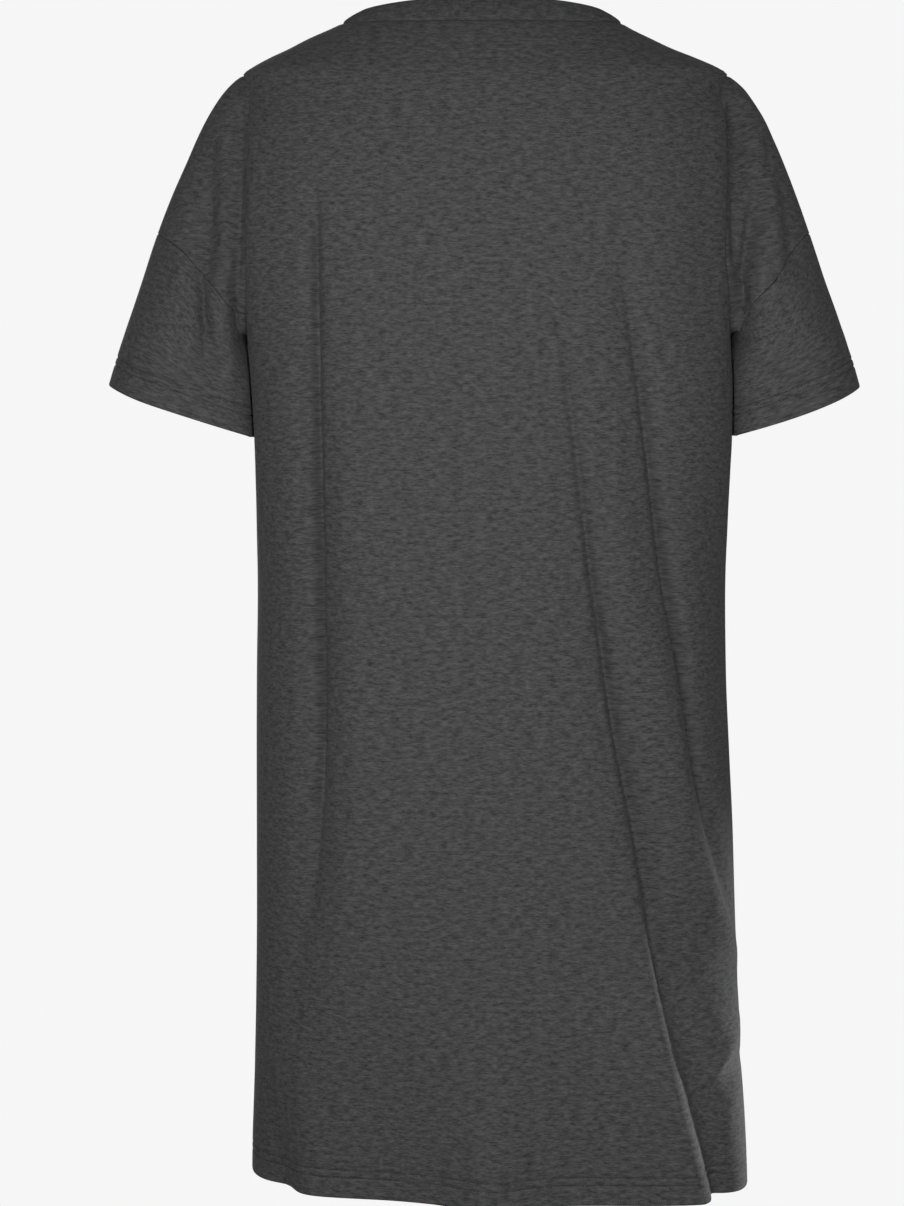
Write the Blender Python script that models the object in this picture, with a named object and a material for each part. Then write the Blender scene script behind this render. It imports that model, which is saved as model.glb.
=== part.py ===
import bpy
import numpy as np

# A short-sleeved jersey nightshirt, filled out as when it is worn, with nobody inside.
# Sizes are millimetres until a mesh is made. Zero lies midway between the two high shoulder
# points. The back faces +Y, the wearer's left is +X, and up is +Z.

WALL = 1.4          # single jersey with its nap
HEM_WALL = 2.6      # the same jersey turned up once
HEM_DEPTH = 22.0    # how far it is turned up
BAND_WALL = 2.6     # neck rib folded double
SEAM_GAP = 0.3      # room between two cut pieces along their seam
MM = 0.001

NECK_TOP = -3.0          # height of the neck seam at the shoulders
SHOULDER_POINT = -42.0   # where the fold over the arm begins
SLEEVE_TOP = -163.0      # armhole seam at the outer side of the arm
UNDERARM = -243.0        # armhole seam under the arm
HEM = -895.0
NECK_DROP = {"back": 2.0, "front": 82.0}

BODY_HALF_COLUMNS = {"back": 15, "front": 12}
CAP_COLUMNS = 5
ROWS_BELOW_ARM = 17
ROWS_OF_ARMHOLE = 10
ROWS_OF_CAP = 7
ROWS_OF_SHOULDER = 4
ROWS_OF_SLEEVE = 5
ROWS_OF_BAND = 3

JERSEY = {"colour": (0.056, 0.056, 0.059), "roughness": 0.93, "metallic": 0.0}
RIB = {"colour": (0.052, 0.052, 0.056), "roughness": 0.95, "metallic": 0.0}


def columns(names, *rows):
    """A table whose columns can be asked for by name, sorted by its first column."""
    return dict(zip(names.split(), np.array(sorted(rows), float).T))


# Half widths and depths of the body at each height. The tuck is how far the side is drawn
# in behind the fold that hangs over the arm.
BODY = columns(
    "height left right back front squareness tuck",
    (-3, 109.5, 104.5, 58, 20, 2.2, 0),
    (-8, 120, 113, 63, 27, 2.2, 0),
    (-15, 136, 127.5, 69, 34, 2.2, 0),
    (-23, 151.5, 144.5, 75, 41, 2.2, 0),
    (-30, 166.5, 162.5, 80, 46, 2.2, 0),
    (-38, 180.5, 180, 85, 51, 2.3, 0),
    (-42, 185.5, 185.5, 88, 54, 2.3, 0),
    (-50, 184, 183.5, 92, 60, 2.4, 0.5),
    (-60, 183, 182, 96, 66, 2.5, 1.5),
    (-90, 182.5, 181.5, 106, 84, 2.8, 5),
    (-130, 183, 182, 115, 103, 3.0, 7),
    (-170, 185, 183, 121, 116, 3.0, 7),
    (-225, 183, 185.5, 125, 128, 3.0, 6),
    (-243, 181.5, 186.5, 126, 130, 3.0, 5),
    (-260, 180, 187, 127, 131, 3.0, 11),
    (-279, 178.5, 188, 127, 133, 3.0, 16),
    (-316, 176.5, 188, 127, 134, 2.9, 16),
    (-345, 175.8, 187, 127, 135, 2.8, 12),
    (-375, 175.5, 186.2, 126, 135, 2.7, 5),
    (-437, 175.6, 185.5, 126, 135, 2.6, 0),
    (-500, 176.6, 186.5, 126, 135, 2.5, 0),
    (-560, 177, 189.2, 126, 136, 2.5, 0),
    (-623, 177.1, 192.4, 125, 137, 2.5, 0),
    (-685, 177.4, 194.4, 124, 138, 2.5, 0),
    (-748, 178.3, 196.4, 123, 139, 2.5, 0),
    (-810, 179.8, 198.2, 121, 140, 2.5, 0),
    (-842, 180.9, 199.9, 120, 140, 2.5, 0),
    (-873, 181.9, 201.3, 119, 141, 2.5, 0),
    (-895, 182.2, 202, 118, 141, 2.5, 0),
)
TUCK_REACH = 38.0

# The arm tube: how far its outer side is from the middle, how far its inner side lies inside
# the body's side, and its depths. Below the underarm it stands clear, so that is negative.
ARM = columns(
    "height left right inside back front forward",
    (-42, 185.5, 185.5, 60, 18, 18, 0),
    (-46, 191.3, 191.3, 62, 22, 22, 0),
    (-53, 198.5, 199, 66, 28, 27, 0),
    (-61, 204.8, 205, 70, 33, 33, 0),
    (-76, 214, 214.4, 74, 40, 41, 0),
    (-91, 221.5, 221.4, 78, 46, 48, 0),
    (-107, 228.5, 228.4, 82, 51, 54, 0),
    (-137, 241.8, 240.1, 86, 58, 62, 0),
    (-168, 253.6, 251.1, 84, 64, 68, 0),
    (-199, 263.8, 261.4, 52, 69, 72, 0),
    (-225, 272.5, 270.8, 26, 71, 74, 0),
    (-235, 276, 274.2, 12, 71, 75, 0),
    (-243, 278.6, 277, 0, 72, 75, 0),
    (-247, 280, 278.3, -4, 72, 75, 0),
    (-252, 281.7, 280, -5, 72, 75, -0.5),
    (-260, 284.3, 282.9, -5.5, 72, 75, -1),
    (-280, 290.6, 289, -5, 71, 75, -3),
    (-320, 303, 301, -5, 69, 74, -6),
)
ARM_SQUARENESS = {"outer": 2.2, "inner": 1.75, "inner back of the free sleeve": 3.0}
LEAST_STRIP = 0.13  # turn of the arm that the body piece always covers outside its valley

# How far out the armhole seam lies at each height.
ARMHOLE = columns(
    "height left right",
    (-163, 252.0, 249.4),
    (-166, 247.0, 244.0),
    (-172, 237.5, 238.0),
    (-179, 228.5, 233.0),
    (-188, 220.5, 226.5),
    (-197, 213.4, 220.5),
    (-204, 206.5, 214.5),
    (-210, 201.5, 208.0),
    (-217, 195.5, 201.0),
    (-223, 188.5, 195.5),
    (-232, 179.0, 187.0),
    (-243, 172.0, 178.0),
)

# Height of the sleeve's edge, by how far out it lies.
CUFF = columns(
    "outward left right",
    (160, -324, -327), (182, -317.5, -320), (211, -308.5, -311.5), (234.5, -301, -304), (267, -290, -291.5),
    (290.5, -279.5, -280), (310, -270, -270),
)

# How much the bottom edge is lifted above level, by its place across the back.
HEM_LIFT = {
    "back": columns(
        "across lift",
        (-202, 5.5), (-185, 5), (-172, 5), (-160, 4), (-145, 2), (-110, 0.5), (-60, 0), (-10, -1.5),
        (10, -1.5), (40, -0.8), (85, -1), (130, -0.5), (165, 0.5), (182, 3),
    ),
    "front": columns("across lift", (-202, 5), (-170, 2), (-120, -1), (-40, 1.5), (30, -1), (100, 1.5), (182, 3)),
}

# Each fold follows a line down the cloth. A row gives its height, its place across, how far
# it stands out (or in, when negative), and how far it spreads to the left and to the right.
BACK_FOLDS = {
    "long valley on the left": columns(
        "height across push left right",
        (-120, 127, 0, 16, 16), (-190, 128, -2.5, 14, 15), (-300, 129, -5.5, 12, 16), (-420, 129, -7, 12, 18),
        (-560, 129, -7.5, 13, 20), (-650, 133, -6.5, 15, 20), (-730, 141, -4, 18, 22), (-800, 146, 0, 20, 24),
    ),
    "swell beside the long valley": columns(
        "height across push left right",
        (-250, 104, 0, 14, 30), (-400, 102, 2.5, 14, 34), (-600, 104, 3, 15, 36), (-740, 112, 2, 18, 40),
        (-820, 116, 0, 20, 40),
    ),
    "outer fold on the right, hollow": columns(
        "height across push left right",
        (-120, -102, 0, 16, 14), (-180, -103, -2.5, 16, 13), (-260, -113, -6, 20, 11), (-350, -126, -7, 22, 10),
        (-450, -142, -7, 18, 10), (-520, -154, -5, 11, 11), (-600, -167, -3, 9, 12), (-680, -183, 0, 8, 12),
    ),
    "outer fold on the right, ridge": columns(
        "height across push left right",
        (-430, -132, 0, 20, 10), (-500, -139, 4, 24, 9), (-580, -148, 6, 24, 8), (-640, -160, 7, 22, 8),
        (-680, -171, 5, 18, 8), (-730, -185, 0, 16, 8),
    ),
    "inner fold on the right, hollow": columns(
        "height across push left right",
        (-200, -50, 0, 16, 12), (-260, -58, -2, 18, 12), (-340, -69, -4, 22, 11), (-440, -84, -5.5, 24, 11),
        (-560, -103, -5.5, 18, 12), (-650, -121, -4.5, 10, 13), (-720, -133, -3, 9, 14), (-790, -150, 0, 9, 14),
    ),
    "inner fold on the right, ridge": columns(
        "height across push left right",
        (-540, -92, 0, 26, 10), (-620, -106, 3, 32, 9), (-700, -117, 6, 38, 9), (-760, -126, 9, 42, 9),
        (-820, -140, 11, 44, 9), (-895, -158, 12, 42, 9),
    ),
    "hollow behind that ridge": columns(
        "height across push left right",
        (-660, -140, 0, 10, 14), (-730, -148, -5, 10, 17), (-800, -162, -10, 11, 16), (-895, -179, -16, 10, 11),
    ),
    "low swell in the middle of the hem": columns(
        "height across push left right",
        (-740, -2, 0, 30, 34), (-800, -2, 4, 28, 34), (-850, -2, 11, 26, 32), (-895, -3, 16, 26, 30),
    ),
    "broad hollow at the left of the hem": columns(
        "height across push left right",
        (-640, 92, 0, 60, 50), (-740, 90, -6, 62, 52), (-830, 88, -12, 64, 54), (-895, 86, -15, 64, 54),
    ),
    "pinch at the left edge": columns(
        "height across push left right",
        (-800, 166, 0, 12, 14), (-850, 167, -7, 10, 16), (-895, 168, -15, 9, 17),
    ),
}
FRONT_FOLDS = {
    "long hollow on the left": columns(
        "height across push left right",
        (-150, 112, 0, 18, 18), (-240, 112, -4, 16, 20), (-380, 116, -7.5, 14, 22), (-540, 122, -8, 14, 24),
        (-700, 130, -5, 18, 26), (-800, 138, 0, 20, 26),
    ),
    "long hollow on the right": columns(
        "height across push left right",
        (-170, -92, 0, 20, 16), (-260, -98, -5, 22, 14), (-400, -108, -8, 26, 13), (-560, -122, -8, 28, 13),
        (-680, -138, -4, 26, 15), (-760, -148, 0, 24, 16),
    ),
    "ridge on the right": columns(
        "height across push left right",
        (-600, -118, 0, 34, 14), (-720, -126, 7, 40, 12), (-820, -138, 11, 42, 11), (-895, -146, 13, 42, 11),
    ),
    "middle hollow": columns(
        "height across push left right",
        (-330, 26, 0, 24, 20), (-450, 22, -4, 24, 18), (-600, 14, -5.5, 26, 18), (-740, 6, -3, 28, 20),
        (-820, 2, 0, 28, 22),
    ),
    "swell at the left of the hem": columns(
        "height across push left right",
        (-600, 70, 0, 30, 34), (-720, 70, 6, 30, 38), (-895, 68, 14, 32, 40),
    ),
    "pinch at the right edge": columns(
        "height across push left right",
        (-700, -172, 0, 12, 12), (-800, -176, -8, 10, 14), (-895, -180, -14, 10, 14),
    ),
}
LEFT_ARM_FOLDS = {
    "hollow down the back of the arm": columns(
        "height across push left right",
        (-70, 211, 0, 12, 12), (-105, 212, -4, 13, 12), (-150, 213, -7, 13, 12), (-192, 214, -6, 11, 9),
        (-245, 211, -4.5, 9, 8), (-285, 210, -1.5, 9, 8), (-305, 210, 0, 9, 8),
    ),
    "roll beside the body": columns(
        "height across push left right",
        (-150, 195, 0, 10, 8), (-215, 197, 3, 10, 8), (-260, 195, 3, 9, 8), (-300, 194, 0, 9, 8),
    ),
}
RIGHT_ARM_FOLDS = {
    "hollow down the back of the arm": columns(
        "height across push left right",
        (-80, -199, 0, 8, 10), (-130, -200, -4, 8, 10), (-180, -198, -6, 8, 9), (-225, -196, -4, 8, 9),
        (-265, -196, 0, 8, 9),
    ),
    "roll outside that hollow": columns(
        "height across push left right",
        (-70, -212, 0, 10, 9), (-110, -215, 2.5, 9, 10), (-165, -221, 3.5, 9, 12), (-215, -224, 0, 10, 12),
    ),
}
ARM_FRONT_FOLDS = {
    "hollow down the front of the arm": columns(
        "height across push left right",
        (-90, 213, 0, 12, 12), (-140, 214, -5, 12, 11), (-200, 214, -7, 11, 10), (-260, 214, -3, 10, 10),
        (-300, 214, 0, 10, 10),
    ),
}


def read(table, name, where):
    """One column of a table, smooth between its rows."""
    keys = list(table)
    at, value = table[keys[0]], table[name]
    where = np.clip(where, at[0], at[-1])
    step = np.diff(at)
    rise = np.diff(value) / step
    product = rise[1:] * rise[:-1]
    inner = np.where(product > 0, 2 * product / np.where(product > 0, rise[1:] + rise[:-1], 1), 0)
    slope = np.concatenate([rise[:1], inner, rise[-1:]])
    i = np.clip(np.searchsorted(at, where) - 1, 0, len(at) - 2)
    t = (where - at[i]) / step[i]
    return (
        (1 + 2 * t) * (1 - t) ** 2 * value[i]
        + t * (1 - t) ** 2 * step[i] * slope[i]
        + t * t * (3 - 2 * t) * value[i + 1]
        + t * t * (t - 1) * step[i] * slope[i + 1]
    )


def ease(value, low, high):
    """Rises smoothly from 0 at low to 1 at high."""
    t = np.clip((value - low) / (high - low), 0, 1)
    return t * t * (3 - 2 * t)


def push_of_folds(folds, across, height):
    """How far all folds together move the cloth out of its plain form."""
    total = np.zeros_like(across)
    for fold in folds.values():
        at = fold["height"]
        inside = (height > at[0] - 1e-6) & (height < at[-1] + 1e-6)
        off = across - read(fold, "across", height)
        spread = np.where(off > 0, read(fold, "left", height), read(fold, "right", height))
        total += np.where(inside, read(fold, "push", height) * np.exp(-((off / spread) ** 2)), 0)
    return total


def body_point(side, face, turn, height):
    """Place on the body's section: a turn of 0 is the side and a quarter turn the middle."""
    half = read(BODY, side, height)
    deep = read(BODY, face, height)
    square = read(BODY, "squareness", height)
    y = deep * np.sin(turn) ** (2 / square)
    across = np.maximum(np.cos(turn), 0) ** (2 / square)
    return half * across - read(BODY, "tuck", height) * np.exp(-((y / TUCK_REACH) ** 2)), y


FULLNESS_HEIGHTS = np.linspace(HEM, NECK_TOP, 150)


def fullness_of(side):
    """What keeps the widest place of each section at the width its table gives."""
    turns = np.linspace(0, np.pi / 2, 90)[:, None]
    widest = [body_point(side, face, turns, FULLNESS_HEIGHTS)[0].max(axis=0) for face in ("back", "front")]
    return read(BODY, side, FULLNESS_HEIGHTS) / np.maximum(*widest)


FULLNESS = {side: fullness_of(side) for side in ("left", "right")}


def body(side, face, turn, height):
    x, y = body_point(side, face, turn, height)
    return x * np.interp(height, FULLNESS_HEIGHTS, FULLNESS[side]), y


def arm_section(side, face, height):
    """Middle, half width and depth of the arm tube's level section."""
    outer = read(ARM, side, height)
    inner = body(side, face, np.zeros_like(height), height)[0] - read(ARM, "inside", height)
    return (outer + inner) / 2, (outer - inner) / 2, read(ARM, face, height)


def arm_square(face, outward, height):
    """At the back, the inner side is squarer where the sleeve hangs free than where it joins the body."""
    inner = ARM_SQUARENESS["inner"]
    if face == "back":
        free = ease(-height, -UNDERARM, -UNDERARM + 30)
        inner = inner * (1 - free) + ARM_SQUARENESS["inner back of the free sleeve"] * free
    return np.where(outward > 0, ARM_SQUARENESS["outer"], inner)


def arm(side, face, turn, height):
    """Place on the arm tube: a turn of 0 is its outer side and half a turn its inner side."""
    middle, half, deep = arm_section(side, face, height)
    power = 2 / arm_square(face, np.cos(turn), height)
    x = middle + half * np.sign(np.cos(turn)) * np.abs(np.cos(turn)) ** power
    y = deep * np.abs(np.sin(turn)) ** power
    return x, y


def turn_on_arm(side, face, x, height):
    middle, half, _ = arm_section(side, face, height)
    across = np.clip((x - middle) / half, -1, 1)
    return np.arccos(np.sign(across) * np.abs(across) ** (arm_square(face, across, height) / 2))


def valley_turn(side, face, height):
    """The body's turn at which it meets the arm tube."""
    middle, half, deep = arm_section(side, face, height)
    low = np.zeros_like(height)
    high = np.full_like(height, 1.35)
    for _ in range(40):
        turn = (low + high) / 2
        x, y = body(side, face, turn, height)
        square = arm_square(face, x - middle, height)
        outside = np.abs((x - middle) / half) ** square + (y / deep) ** square > 1
        low, high = np.where(outside, low, turn), np.where(outside, turn, high)
    return (low + high) / 2


def neck_turn(side, face, along):
    """Turn and drop of the neck seam, from 0 at the shoulder to 1 at the middle."""
    drop = NECK_DROP[face] * np.sin(along * np.pi / 2) ** 1.15
    height = NECK_TOP - drop
    x = read(BODY, side, NECK_TOP) * np.cos(along * np.pi / 2) ** (1.0 if face == "front" else 0.91)
    square = read(BODY, "squareness", height)
    return np.arccos(np.clip(x / read(BODY, side, height), 0, 1) ** (square / 2)), drop


def half_row(side, face, level, count):
    """Even places from the middle of the body to its side, its valley or its shoulder."""
    along = np.linspace(1, 0, 240)
    lowest = 0.0
    if UNDERARM < level < SHOULDER_POINT:
        lowest = valley_turn(side, face, np.array([level]))[0]
    follow = (1 - ease(-level, -NECK_TOP, -SLEEVE_TOP)) * np.clip(1 - (NECK_TOP - level) / 170, 0, 1)
    neck, drop = neck_turn(side, face, along)
    even = along * np.pi / 2
    turn = lowest + (np.pi / 2 - lowest) * ((1 - follow) * even + follow * neck) / (np.pi / 2)
    height = level - follow * drop
    x, y = body(side, face, turn, height)
    points = np.stack([SIGN[side] * x, SIGN[face] * y, height], axis=1)
    return evenly(points, count)


def evenly(points, count):
    """Places at even distances along a line of points."""
    length = np.concatenate([[0], np.cumsum(np.linalg.norm(np.diff(points, axis=0), axis=1))])
    at = np.linspace(0, length[-1], count + 1)
    return np.stack([np.interp(at, length, points[:, i]) for i in range(3)], axis=1)


SIGN = {"left": 1.0, "right": -1.0, "back": 1.0, "front": -1.0}


def levels():
    """Heights of the rows, from the hem up to the neck seam."""
    below = np.linspace(HEM + HEM_DEPTH + 4, UNDERARM, ROWS_BELOW_ARM)
    share = np.linspace(0, 1, ROWS_OF_ARMHOLE + 1)[1:]
    armhole = UNDERARM + (SLEEVE_TOP - UNDERARM) * (share - 0.04 * np.sin(2 * np.pi * share))
    armhole[-1] = SLEEVE_TOP
    share = np.linspace(0, 1, ROWS_OF_CAP + 1)[1:]
    cap = SLEEVE_TOP + (SHOULDER_POINT - SLEEVE_TOP) * (share + 0.1 * np.sin(np.pi * share))
    cap[-1] = SHOULDER_POINT
    shoulder = np.linspace(SHOULDER_POINT, NECK_TOP, ROWS_OF_SHOULDER + 1)[1:]
    return np.concatenate([[HEM, HEM + HEM_DEPTH], below, armhole, cap, shoulder])


class Cloth:
    """All the cut pieces as one surface, so that their seams share the same places."""

    def __init__(self):
        self.places, self.push, self.wall, self.named = [], [], [], {}
        self.pieces = {}

    def place(self, point, push=0.0, wall=WALL, name=None):
        if name is not None and name in self.named:
            return self.named[name]
        self.places.append(point)
        self.push.append(push)
        self.wall.append(wall)
        if name is not None:
            self.named[name] = len(self.places) - 1
        return len(self.places) - 1

    def weave(self, piece, rows, flip):
        """Faces between neighbouring rows of places. Places that coincide give triangles."""
        faces = self.pieces.setdefault(piece, [])
        for low, high in zip(rows, rows[1:]):
            for i in range(len(low) - 1):
                corners = [low[i], low[i + 1], high[i + 1], high[i]]
                corners = [c for n, c in enumerate(corners) if c != corners[n - 1]]
                if len(corners) > 2:
                    faces.append(corners[::-1] if flip else corners)


def wall_at(height):
    return HEM_WALL if height <= HEM + HEM_DEPTH + 0.1 else WALL


def lay_body(cloth, face, heights):
    """The body part of the back or the front, between its sides, valleys and shoulders."""
    count = BODY_HALF_COLUMNS[face]
    folds = BACK_FOLDS if face == "back" else FRONT_FOLDS
    rows = []
    for n, level in enumerate(heights):
        row = []
        for side in ("left", "right"):
            points = half_row(side, face, level, count)
            share = np.arange(count + 1) / count
            push = push_of_folds(folds, points[:, 0], points[:, 2])
            near_neck = np.clip((NECK_TOP - points[0, 2] - NECK_DROP[face]) / 60, 0, 1)
            push = push * (1 - ease(share, 0.86, 1.0)) * near_neck
            low = ease(points[:, 2], HEM + 90, HEM)
            points[:, 2] += low * read(HEM_LIFT[face], "lift", points[:, 0])
            half = []
            for i in range(count + 1):
                name = None
                if i == 0:
                    name = (face, "middle", n)
                elif i == count:
                    shared = not UNDERARM < level < SHOULDER_POINT
                    name = (side, "edge", n) if shared else (side, face, "valley", n)
                elif n == len(heights) - 1:
                    name = (side, face, "neck", i)
                half.append(cloth.place(points[i], push[i], wall_at(level), name))
            row = half[::-1] if side == "left" else row + half[1:]
        rows.append(row)
    cloth.weave(face, rows, flip=face == "front")
    return rows


def lay_cap(cloth, side, face, heights):
    """The part of the back or the front that drops over the arm, down to the armhole seam."""
    folds = arm_folds(side, face)
    rows = []
    for n, level in enumerate(heights):
        if level < UNDERARM or level > SHOULDER_POINT:
            continue
        if level in (UNDERARM, SHOULDER_POINT):
            rows.append([cloth.named[(side, "edge", n)]] * (CAP_COLUMNS + 1))
            continue
        at = np.array([level])
        x, y = body(side, face, valley_turn(side, face, at), at)
        start = turn_on_arm(side, face, x, at)[0]
        end = seam_turn(side, face, level)
        turns = start + (end - start) * np.linspace(0, 1, 40)
        x, y = arm(side, face, turns, np.full(40, level))
        points = evenly(np.stack([SIGN[side] * x, SIGN[face] * y, np.full(40, level)], axis=1), CAP_COLUMNS)
        push = push_of_folds(folds, points[:, 0], points[:, 2]) * edge_of_arm(points, side, face)
        row = [cloth.named[(side, face, "valley", n)]]
        for i in range(1, CAP_COLUMNS + 1):
            name = None
            if i == CAP_COLUMNS:
                name = (side, "ridge", n) if level >= SLEEVE_TOP else (side, face, "armhole", n)
            row.append(cloth.place(points[i], push[i], WALL, name))
        rows.append(row)
    cloth.weave(face, rows, flip=(side == "left") == (face == "back"))


def arm_folds(side, face):
    if face == "back":
        return LEFT_ARM_FOLDS if side == "left" else RIGHT_ARM_FOLDS
    if side == "left":
        return ARM_FRONT_FOLDS
    return {name: dict(fold, across=-fold["across"]) for name, fold in ARM_FRONT_FOLDS.items()}


def edge_of_arm(points, side, face):
    """Folds fade where the arm turns from its back to its front."""
    deep = np.maximum(read(ARM, face, points[:, 2]), 1)
    return ease(np.abs(points[:, 1]) / deep, 0.1, 0.5)


def seam_turn(side, face, level):
    """Turn round the arm at which the armhole seam lies at this height."""
    if level >= SLEEVE_TOP - 1e-6:
        return 0.0
    at = np.array([level])
    x = body(side, face, valley_turn(side, face, at), at)[0]
    return min(
        turn_on_arm(side, face, read(ARMHOLE, side, at), at)[0],
        turn_on_arm(side, face, x, at)[0] - LEAST_STRIP,
    )


def cuff_height(side, face, turn):
    height = np.full_like(turn, -300.0)
    for _ in range(12):
        height = read(CUFF, side, arm(side, face, turn, height)[0])
    return height


def lay_sleeve(cloth, side, heights):
    """A sleeve, from the armhole seam down to its edge."""
    ring = [n for n, level in enumerate(heights) if UNDERARM <= level <= SLEEVE_TOP][::-1]
    around = [("back", n) for n in ring] + [("front", n) for n in ring[-2::-1]]
    lines = []
    for order, (face, n) in enumerate(around):
        level = heights[n]
        if level == SLEEVE_TOP:
            top, start = cloth.named[(side, "ridge", n)], 0.0
        elif level == UNDERARM:
            top, start = cloth.named[(side, "edge", n)], np.pi
        else:
            top, start = cloth.named[(side, face, "armhole", n)], seam_turn(side, face, level)
        share = order if face == "back" else len(around) - 1 - order
        even = np.pi * share / (len(ring) - 1)
        t = np.linspace(0, 1, 60)
        turns = start + (even - start) * ease(t, 0, 1)
        end = cuff_height(side, face, np.array([even]))[0]
        height = level + (end - level) * t
        x, y = arm(side, face, turns, height)
        y = SIGN[face] * y + read(ARM, "forward", height)
        line = np.stack([SIGN[side] * x, y, height], axis=1)
        line[0] = cloth.places[top]
        length = np.linalg.norm(np.diff(line, axis=0), axis=1).sum()
        share_of_hem = 1 - HEM_DEPTH / length
        stops = np.concatenate([np.linspace(0, share_of_hem - 0.03, ROWS_OF_SLEEVE)[1:], [share_of_hem, 1]])
        fine = evenly(line, 400)
        points = fine[np.round(stops * 400).astype(int)]
        push = push_of_folds(arm_folds(side, face), points[:, 0], points[:, 2])
        push = push * edge_of_arm(points, side, face)
        walls = [WALL] * (ROWS_OF_SLEEVE - 1) + [HEM_WALL] * 2
        last = order == len(around) - 1
        made = lines[0][1:] if last else [cloth.place(*each) for each in zip(points, push, walls)]
        lines.append([top] + made)
    cloth.weave("sleeve_" + side, lines, flip=side == "right")


def lay_band(cloth, heights):
    """The neck rib, a ring that stands on the neck seam and leans inwards."""
    top = len(heights) - 1
    ring = []
    for face, sides in (("back", ("left", "right")), ("front", ("right", "left"))):
        count = BODY_HALF_COLUMNS[face]
        first = [(sides[0], face, "neck", i) for i in range(count - 1, 0, -1)]
        second = [(sides[1], face, "neck", i) for i in range(1, count)]
        ring += [(sides[0], "edge", top)] + first + [(face, "middle", top)] + second
    lines = []
    for name in ring:
        seam = cloth.named[name]
        x, y, z = cloth.places[seam]
        reach = np.hypot(x / 107, y / (58 if y > 0 else 80))
        back = max(y, 0) / 58 / reach
        front = max(-y, 0) / 80 / reach
        rise = 9.5 + 9.5 * back**2 + 8 * front**2
        lean_x, lean_y = x * 16.0 / 107, 9 * np.sign(y) * (back**2 + front**2)
        line = [seam]
        for i in range(1, ROWS_OF_BAND + 1):
            t = i / ROWS_OF_BAND
            bow = 1.6 * np.sin(np.pi * t)
            out = np.array([x / 107, y / 80])
            out = out / np.linalg.norm(out)
            point = np.array([x - lean_x * t + bow * out[0], y - lean_y * t + bow * out[1], z + rise * t])
            line.append(cloth.place(point, 0.0, BAND_WALL))
        lines.append(line)
    cloth.weave("neckband", lines + lines[:1], flip=True)


def cut(faces):
    """Triangles, with each four-sided face split along its shorter diagonal."""
    def split(places):
        out = []
        for face in faces:
            if len(face) == 3:
                out.append(face)
                continue
            a, b, c, d = face
            short = np.linalg.norm(places[a] - places[c]) <= np.linalg.norm(places[b] - places[d])
            out += [[a, b, c], [a, c, d]] if short else [[a, b, d], [b, c, d]]
        return np.array(out)
    return split


def face_normals(places, triangles):
    a, b, c = (places[triangles[:, i]] for i in range(3))
    normal = np.cross(b - a, c - a)
    return normal / np.maximum(np.linalg.norm(normal, axis=1, keepdims=True), 1e-12), (a, b, c)


def corner_weights(corners):
    """The angle of each triangle at each of its corners."""
    angles = []
    for i in range(3):
        one, two = corners[(i + 1) % 3] - corners[i], corners[(i + 2) % 3] - corners[i]
        size = np.linalg.norm(one, axis=1) * np.linalg.norm(two, axis=1)
        angles.append(np.arccos(np.clip((one * two).sum(axis=1) / np.maximum(size, 1e-12), -1, 1)))
    return angles


def smooth_normals(places, triangles):
    normal, corners = face_normals(places, triangles)
    total = np.zeros_like(places)
    for i, weight in enumerate(corner_weights(corners)):
        np.add.at(total, triangles[:, i], normal * weight[:, None])
    return total / np.maximum(np.linalg.norm(total, axis=1, keepdims=True), 1e-12)


def inward(places, triangles):
    """For each place, the step that puts the inner surface one unit behind every face there."""
    normal, corners = face_normals(places, triangles)
    square = np.zeros((len(places), 3, 3))
    total = np.zeros_like(places)
    for i, weight in enumerate(corner_weights(corners)):
        np.add.at(square, triangles[:, i], weight[:, None, None] * normal[:, :, None] * normal[:, None, :])
        np.add.at(total, triangles[:, i], normal * weight[:, None])
    size = np.trace(square, axis1=1, axis2=2)[:, None, None]
    step = -np.linalg.solve(square / size + 0.03 * np.eye(3), total[:, :, None] / size)[:, :, 0]
    length = np.linalg.norm(step, axis=1, keepdims=True)
    return step / length * np.clip(length * 1.03, 0.9, 1.5)


def rim_of(triangles):
    """Directed edges that only one triangle uses."""
    edges = np.concatenate([triangles[:, [0, 1]], triangles[:, [1, 2]], triangles[:, [2, 0]]])
    used = {tuple(edge) for edge in edges}
    return [edge for edge in map(tuple, edges) if edge[::-1] not in used]


def drawn_back(places, steps, rim):
    """Moves the rim of a piece half a seam gap into the piece."""
    sums, counts = {}, {}
    for a, b in rim:
        along = places[b] - places[a]
        along = along / np.linalg.norm(along)
        up = -(steps[a] + steps[b])
        into = np.cross(up, along)
        into = into / np.linalg.norm(into)
        for end in (a, b):
            sums.setdefault(end, []).append(into)
    shift = np.zeros_like(places)
    for end, parts in sums.items():
        total = np.sum(parts, axis=0)
        size = np.linalg.norm(total)
        if size > 1e-6:
            unit = total / size
            share = max(min(float(np.dot(unit, part)) for part in parts), 0.4)
            shift[end] = unit * SEAM_GAP / 2 / share
    return shift


def make_material(name, finish):
    material = bpy.data.materials.new(name)
    material.use_nodes = True
    shader = material.node_tree.nodes["Principled BSDF"]
    shader.inputs["Base Color"].default_value = (*finish["colour"], 1)
    shader.inputs["Roughness"].default_value = finish["roughness"]
    shader.inputs["Metallic"].default_value = finish["metallic"]
    return material


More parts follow.
